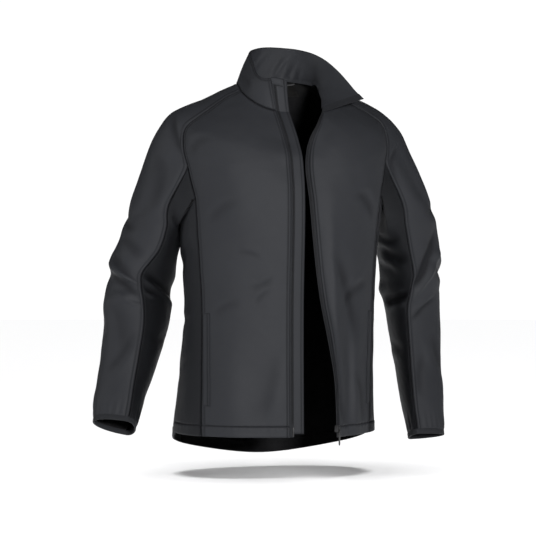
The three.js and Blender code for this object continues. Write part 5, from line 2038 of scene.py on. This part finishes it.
@dataclass
class ChinGuard:
    """Flap's end, turned over the top of the zip."""

    shell: Shell
    reach: tuple[float, float] = (0.6, 24)
    edge_steps: tuple[float, ...] = (0, 0.6, 1.4, 2.6)
    bulge: float = 0.3
    stitch: float = 2.2
    outside: tuple = ((1.2, -11), (1.2, -3), (2, 1.8), (4.2, 3), (7.8, 2.6), (9.4, -0.5), (9.4, -6))
    inside: tuple = ((2.3, -11), (2.3, -3), (2.7, 1.1), (4.6, 2), (7.2, 1.7), (8.2, -0.6), (8.2, -6))

    def _face(self, profile: tuple, past: Array) -> Array:
        """Profile of depths and heights at the collar's front corner, swept across the zip.

        Args:
            profile: Rows of depth and height.
            past: Lengths past the edge.

        Returns:
            Grid of points.
        """
        collar = self.shell.panels["collar_outer"]
        edge, below = collar.bare[-1, 0], collar.bare[-8, 0]
        normal = collar.normals[-1, 0]
        fold = self.shell.collar.point(self.shell.collar.right_fold, 1.0)
        rise = unit(edge - below)
        along = unit((edge - fold) * np.array([1, TURNED_IN, 1]))
        knots = np.linspace(0, 1, len(profile))
        curve = Track(knots, np.array(profile, float))(np.linspace(0, 1, 41))
        swell = self.bulge * np.sin(np.pi * (past - past[0]) / (past[-1] - past[0])) ** 0.5
        depth, height = curve[:, None, 0] + 0 * past, curve[:, None, 1] + swell[None]
        return (edge + along * past[None, :, None] - normal * depth[..., None]
                + rise * height[..., None])

    def build(self) -> None:
        """Closed sheet between the outside and the inside profile, with its line of stitches."""
        low, high = self.reach
        past = low + steps_along(high - low, self.edge_steps, self.edge_steps)
        outer, inner = self._face(self.outside, past), self._face(self.inside, past)
        facing = unit(outer - inner)
        thick = np.linalg.norm(outer - inner, axis=-1)
        seams = tuple(Seam(edge, 0.25, 0.1, 0) for edge in Edge)
        guard = Panel("chin_guard", lambda share, place: outer, past, lengths(outer[:, :1], 0)[:, 0],
                      False, seams, thick=thick, waves=0, facing=facing, seed=37)
        guard.shape()
        piece = settle(guard.build(SHELL_CLOTH, SHELL_CLOTH), Slot.SHELL, replaced=("chin_guard",))
        wide, long = float(past[-1] - past[0]) * MM, float(guard.places[-1]) * MM
        skips = {Edge.LOW: (2, 2), Edge.START: (3, 3), Edge.END: (3, 3)}
        sew("chin_guard_stitches",
            [(Run(*guard.line(edge, self.stitch)), skip) for edge, skip in skips.items()])


# Pockets, cuffs, loop, label and metal

ZIP_METAL = {"zip_slider": GARMENT, "zip_pull": PULL, "zip_box": GARMENT, "zip_pin": GARMENT}


@dataclass
class PocketWelt:
    """Welt on the princess seam that covers the pocket's mouth."""

    shell: Shell
    side: Side
    thick: float = 1.5
    gap: float = 0.35
    edge_steps: tuple[float, ...] = (0, 0.6, 1.3, 2.4, 4)
    bar_tacks: tuple[float, ...] = (3.4, 4.8)

    def build(self) -> None:
        """Folded strip on the front's face, fuller at its free edge, with bar tacks at its ends."""
        front = self.shell.panels[f"front_{self.side.word}"]
        wide, tall = WELT_SHARES[1] - WELT_SHARES[0], WELT_UPS[1] - WELT_UPS[0]
        steps = steps_along(WELT_WIDTH, self.edge_steps, self.edge_steps)
        shares = WELT_SHARES[0] + steps / WELT_WIDTH * wide
        places = WELT_UPS[0] + steps_along(tall)
        base = front.sample(shares[None, :], places[:, None])
        seams = (Seam(Edge.START, 0.45, 0, 0.1, (1.8,)), Seam(Edge.END, 0.35, 0.25, 0.25, (4.6,)),
                 Seam(Edge.LOW, 0.6, 0, 0, (2,)), Seam(Edge.HIGH, 0.6, 0, 0, (2,)))
        name = f"pocket_welt_{self.side.word}"
        welt = Panel(name, lambda share, place: base.points, shares, places, self.side is Side.LEFT, seams,
                     thick=self.thick, depth=-self.thick - self.gap, waves=0.3, facing=base.normals,
                     seed=41 + self.side.value)
        welt.shape()
        piece = settle(welt.build(SHELL_CLOTH, SHELL_CLOTH), Slot.SHELL, replaced=(name,))
        float(welt.away[Edge.START][:, -1].max()) * MM
        runs = [(Run(*welt.line(seam.edge, line)), (1.5, 1.5)) for seam in seams for line in seam.stitches]
        runs += [(Run(*welt.line(edge, line)), (2, 2))
                 for edge in (Edge.LOW, Edge.HIGH) for line in self.bar_tacks]
        sew(name + "_stitches", runs)


@dataclass
class CuffBinding:
    """Elastic binding round the end of a sleeve."""

    sleeve: Sleeve
    thick: float = 3.1
    deep: float = 9
    proud: float = 0.8
    gap: float = -1.6
    rib_pitch: float = 2.6
    rib_lift: float = 0.16
    wave_lift: float = 0.35

    def build(self) -> None:
        """Loop round the sleeve's end, swept through a section with round corners; its ribs are
        waves of the section's size along the loop, over the slower waves of the gathers."""
        side = self.sleeve.side
        across = np.linspace(0, 1, 121)
        over = self.sleeve.outer(across, self.sleeve.end)
        below = self.sleeve.plain_under(across[::-1], self.sleeve.end)
        rim = np.concatenate([over[:-1], below[:-1]])
        rows = SLEEVES[side]
        centre = np.array(rows[-1].centre, float)
        axis = unit(centre - np.array(rows[-2].centre, float))
        away = rim - centre
        away = unit(away - (away @ axis)[:, None] * axis)
        run = lengths(np.concatenate([rim, rim[:1]])[:, None], 0)[:-1, 0]
        whole = float(run[-1] + np.linalg.norm(rim[0] - rim[-1]))
        ribs = np.cos(2 * np.pi * np.round(whole / self.rib_pitch) * run / whole)
        waves = np.sin(2 * np.pi * np.round(whole / GATHER_PITCH) * run / whole
                       + 0.8 * np.sin(4 * np.pi * run / whole))
        turn = np.linspace(0, 2 * np.pi, 21)[:-1]
        c, s = np.cos(turn), np.sin(turn)
        out = np.sign(c) * np.abs(c) ** 0.6 * self.thick / 2 + self.proud - self.thick / 2
        down = np.sign(s) * np.abs(s) ** 0.35 * (self.deep - self.gap) / 2 + (self.deep + self.gap) / 2
        outside = np.clip(c, 0, 1)[:, None]
        fullness = smooth_step(self.deep, 0, down)[:, None]
        swell = outside * (self.rib_lift * ribs + self.wave_lift * waves * fullness)
        points = rim[None] + away[None] * (out[:, None] + swell)[..., None] + axis * down[:, None, None]
        quads = grid_quads(len(turn), len(rim), closed=True, ring=True)
        normal = np.cross(points[1, 1] - points[1, 0], points[2, 0] - points[1, 0])
        if normal @ (points[1, 0] - points[:, 0].mean(axis=0)) < 0:
            quads = quads[:, ::-1]
        plan = np.stack(np.broadcast_arrays(run[None, :], lengths(points, 0)), axis=-1) * MM
        name = f"cuff_binding_{side.word}"
        piece = mesh_object(name + "_elastic", points.reshape(-1, 3), [quads], plan.reshape(-1, 2),
                            [ELASTIC])
        settle(piece, Slot.BINDING, replaced=(name,))
        (self.deep + self.thick) * MM
        middle = Run((points[1] + points[2]) / 2, away)
        sew(name + "_stitches", [(middle, (1, 1))], Slot.BINDING)


@dataclass
class NeckTrim:
    """Hanger loop and blank label inside the back neck."""

    shell: Shell
    nape: float = 166
    loop_spread: float = 26
    loop_tall: float = 3.4
    loop_drop: float = 7
    label_spread: float = 24
    label_low: float = -50
    label_high: float = -14

    def _shares(self, spread: float, count: int) -> Array:
        """Shares of the back's half width from the nape's middle to a spread of degrees each way.

        Args:
            spread: Degrees each way.
            count: Number of shares.

        Returns:
            The shares.
        """
        angle = self.nape + spread * np.linspace(1, -1, count)
        seam = float(self.shell.body.seam["back"](NECK_UP - 20))
        return (180 - angle) / (180 - seam)

    def _piece(self, name: str, shares: Array, places: Array, heights: Array, gap: float, thick: float,
               finish: Finish, slot: Slot, seams: tuple[Seam, ...]) -> Panel:
        """Small band on the back's inner face: it faces in, and its thickness is towards the back.

        Args:
            name: Node that it takes the place of.
            shares: Shares of the columns.
            places: Lengths of the rows.
            heights: Length from the hem of each point.
            gap: Gap to the back's cloth.
            thick: Thickness.
            finish: Its finish.
            slot: Material slot of the record.
            seams: Its edges.

        Returns:
            The shaped panel.
        """
        back = self.shell.panels["back"]
        base = back.sample(shares[None, :], heights, inside=True)
        facing = -base.normals
        panel = Panel(name, lambda share, place: base.points, shares, places, False, seams, thick=thick,
                      depth=-gap - thick, waves=0, facing=facing, seed=47)
        panel.shape()
        piece = settle(panel.build(finish, finish), slot, replaced=(name,))
        wide, tall = (float(panel.away[edge].max()) * MM for edge in (Edge.START, Edge.LOW))
        return panel

    def build(self) -> None:
        """Builds the loop and the label with its line of stitches."""
        shares = self._shares(self.loop_spread, 33)
        k = np.linspace(1, -1, 33)
        rise = np.linspace(0, 1, 6)[:, None]
        sag = -3 - self.loop_drop * (1 - k**4)[None, :]
        heights = NECK_UP + sag - self.loop_tall * (1 - rise)
        self._piece("hanger_loop", shares, rise[:, 0] * self.loop_tall, heights, 0.8, 1.0, LOOP_TAPE,
                    Slot.BINDING, tuple(Seam(edge, 0.2, 0, 0) for edge in Edge))
        shares = self._shares(self.label_spread, 30)
        places = np.linspace(NECK_UP + self.label_low, NECK_UP + self.label_high, 28)
        heights = np.broadcast_to(places[:, None], (28, 30))
        seams = tuple(Seam(edge, 0.25, 0, 0.12) for edge in Edge)
        label = self._piece("neck_label", shares, places - places[0], heights, 0.32, 0.7, SATIN,
                            Slot.LABEL, seams)
        sew("neck_label_stitches", [(Run(*label.line(edge, 1.6)), (1.2, 1.2)) for edge in Edge], Slot.LABEL)


@dataclass
class ZipMetal:
    """Slider, pull tab, retaining box and pin: the part's own solids with softened edges."""

    bevel: float = 0.22
    bevel_angle: float = 30
    flat_angle: float = 3

    def build(self) -> None:
        """Copies each node, joins its triangles and rounds its edges."""
        for node, body in ZIP_METAL.items():
            self._dress(node, body)

    def _dress(self, node: str, body: str) -> None:
        """One rounded copy in black lacquer.

        Args:
            node: Name of the node.
            body: The body that it moves with.
        """
        source = bpy.data.objects[node]
        piece = bpy.data.objects.new(node + "_metal", source.data.copy())
        piece.matrix_world = source.matrix_world.copy()
        bpy.context.scene.collection.objects.link(piece)
        work = bmesh.new()
        work.from_mesh(piece.data)
        bmesh.ops.remove_doubles(work, verts=work.verts, dist=1e-6)
        bmesh.ops.dissolve_limit(work, angle_limit=math.radians(self.flat_angle), verts=work.verts,
                                 edges=work.edges)
        work.to_mesh(piece.data)
        work.free()
        piece.data.materials.clear()
        piece.data.materials.append(LACQUER.material())
        piece.data.shade_smooth()
        rounding = piece.modifiers.new("round", "BEVEL")
        rounding.width, rounding.segments, rounding.limit_method = self.bevel * MM, 3, "ANGLE"
        rounding.angle_limit = math.radians(self.bevel_angle)
        settle(piece, Slot.METAL, body, (node,))


# The studio

SENSOR = 36
VIEW_AZIMUTH = -15
VIEW_DISTANCE = 4000
VIEW_HEIGHT = -364
VIEW_ASIDE = -20
LENS = 134.33
FLOOR_Z = -772


@dataclass
class Studio:
    """Pale sweep, soft lights and the camera of the photograph."""

    ambient: float = 0.006
    white: float = 1.05
    front_power: float = 97
    back_power: float = 70
    shaded_share: float = 0.15
    fill_power: float = 34
    paper_strength: float = 3.4
    paper_softness: float = 40
    paper_reach: float = 12000
    paper_parts: int = 48
    aim: tuple[float, float, float] = (0, 0, -0.35)
    front_place: tuple[float, float, float] = (0.25, -4.3, 0.35)
    back_place: tuple[float, float, float] = (1.0, 4.0, 0.6)
    fill_place: tuple[float, float, float] = (-3.9, -0.5, 1.7)
    front_size: float = 0.8
    back_size: float = 1.6
    fill_size: float = 1.2

    def camera(self) -> None:
        """Level camera at the photograph's angle and distance."""
        turn = math.radians(VIEW_AZIMUTH)
        right = Vector((math.cos(turn), math.sin(turn), 0))
        ahead = Vector((-math.sin(turn), math.cos(turn), 0))
        data = bpy.data.cameras.new("camera")
        data.lens, data.sensor_width = LENS, SENSOR
        data.clip_start, data.clip_end = 0.1, 100
        camera = bpy.data.objects.new("camera", data)
        place = right * VIEW_ASIDE - ahead * VIEW_DISTANCE
        camera.location = Vector((place.x, place.y, VIEW_HEIGHT)) * MM
        camera.rotation_euler = (math.radians(90), 0, turn)
        bpy.context.scene.collection.objects.link(camera)
        bpy.context.scene.camera = camera

    def floor(self) -> None:
        """Pale paper on the floor: a round sheet, drawn as rings about the jacket's middle."""
        turn = np.arange(self.paper_parts) * (2 * np.pi / self.paper_parts)
        reach = np.linspace(0.02, 1, 20)[:, None] ** 1.5 * self.paper_reach
        points = point(reach * np.cos(turn), reach * np.sin(turn), FLOOR_Z).reshape(-1, 3)
        rings = grid_quads(len(reach), len(turn), True)
        middle = np.arange(self.paper_parts)[None]
        paper = mesh_object("floor_paper", points, [rings[:, ::-1], middle], None, [PAPER])
        paper.visible_diffuse = False

    def lamp(self, name: str, place: tuple, size: float, power: float) -> bpy.types.Object:
        """Square soft light at a place, aimed at the jacket's middle, in metres and watts.

        Args:
            name: Name of the lamp.
            place: Where it stands.
            size: Length of its side.
            power: Its power.

        Returns:
            The lamp.
        """
        data = bpy.data.lights.new(name, "AREA")
        data.shape, data.size, data.energy = "SQUARE", size, power
        lamp = bpy.data.objects.new(name, data)
        lamp.location = place
        lamp.rotation_euler = (Vector(self.aim) - Vector(place)).to_track_quat("-Z", "Y").to_euler()
        bpy.context.scene.collection.objects.link(lamp)
        return lamp

    def light(self) -> None:
        """Large soft light before the jacket, a lamp over the paper, and a world that is white to
        the camera and dim to the cloth."""
        world = bpy.data.worlds.new("world")
        world.use_nodes = True
        world.node_tree.nodes.clear()
        tree = Tree(world.node_tree)
        seen = tree.node("ShaderNodeLightPath")["Is Camera Ray"]
        sky = tree.node("ShaderNodeBackground", {}, {
            "Color": (1, 1, 1, 1), "Strength": self.ambient + (self.white - self.ambient) * seen,
        })
        output = tree.nodes.new("ShaderNodeOutputWorld")
        tree.connect(sky["Background"], output.inputs["Surface"])
        bpy.context.scene.world = world
        bpy.context.scene.view_settings.view_transform = "Standard"
        self._front_lights()
        self._back_light()
        self.lamp("fill_light", self.fill_place, self.fill_size, self.fill_power)
        self._paper_light()

    def _front_lights(self) -> None:
        """Soft light before the jacket, and a weaker one at the same place for the panels that
        the arms and the trunk shade from each other."""
        weaker = self.front_power * self.shaded_share
        front = self.lamp("front_light", self.front_place, self.front_size, self.front_power)
        shade = self.lamp("shade_light", self.front_place, self.front_size, weaker)
        left_out = bpy.data.collections.new("left_out")
        shaded = bpy.data.collections.new("shaded")
        for part, side in itertools.product(("side", "sleeve_under"), Side):
            piece = bpy.data.objects[f"{part}_{side.word}_cloth"]
            left_out.objects.link(piece)
            shaded.objects.link(piece)
        self._leave_out(front, left_out)
        shade.light_linking.receiver_collection = shaded

    def _leave_out(self, lamp: bpy.types.Object, pieces: bpy.types.Collection) -> None:
        """Keeps a lamp's light off some pieces."""
        lamp.light_linking.receiver_collection = pieces
        for linked in pieces.collection_objects:
            linked.light_linking.link_state = "EXCLUDE"

    def _back_light(self) -> None:
        """Soft light behind the jacket, for views from there; the paper isn't lit by it."""
        lamp = self.lamp("back_light", self.back_place, self.back_size, self.back_power)
        unlit = bpy.data.collections.new("unlit")
        unlit.objects.link(bpy.data.objects["floor_paper"])
        self._leave_out(lamp, unlit)

    def _paper_light(self) -> None:
        """Broad light from above on the paper alone, in which the trunk throws its soft shadow."""
        data = bpy.data.lights.new("paper_light", "SUN")
        data.energy, data.angle = self.paper_strength, math.radians(self.paper_softness)
        over = bpy.data.objects.new("paper_light", data)
        bpy.context.scene.collection.objects.link(over)
        paper = bpy.data.collections.new("paper")
        paper.objects.link(bpy.data.objects["floor_paper"])
        over.light_linking.receiver_collection = paper
        trunk = bpy.data.collections.new("trunk")
        for name in ("back", "front_right", "front_left", "side_right", "side_left"):
            trunk.objects.link(bpy.data.objects[name + "_cloth"])
        over.light_linking.blocker_collection = trunk


def main() -> None:
    """Builds the jacket, sub-assembly by sub-assembly, and then the studio."""
    logging.basicConfig(level=logging.INFO, format="%(name)s %(message)s")
    studio = Studio()
    studio.camera()
    body = Body()
    sleeves = {side: Sleeve(side, body) for side in Side}
    shell = Shell(body, sleeves, Collar(body, sleeves))
    shell.weld()
    shell.build()
    FrontStrips(shell).build()
    ChinGuard(shell).build()
    for side in Side:
        PocketWelt(shell, side).build()
        CuffBinding(sleeves[side]).build()
    NeckTrim(shell).build()
    ZipMetal().build()
    studio.floor()
    studio.light()


if __name__ == "__main__":
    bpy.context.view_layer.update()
    main()
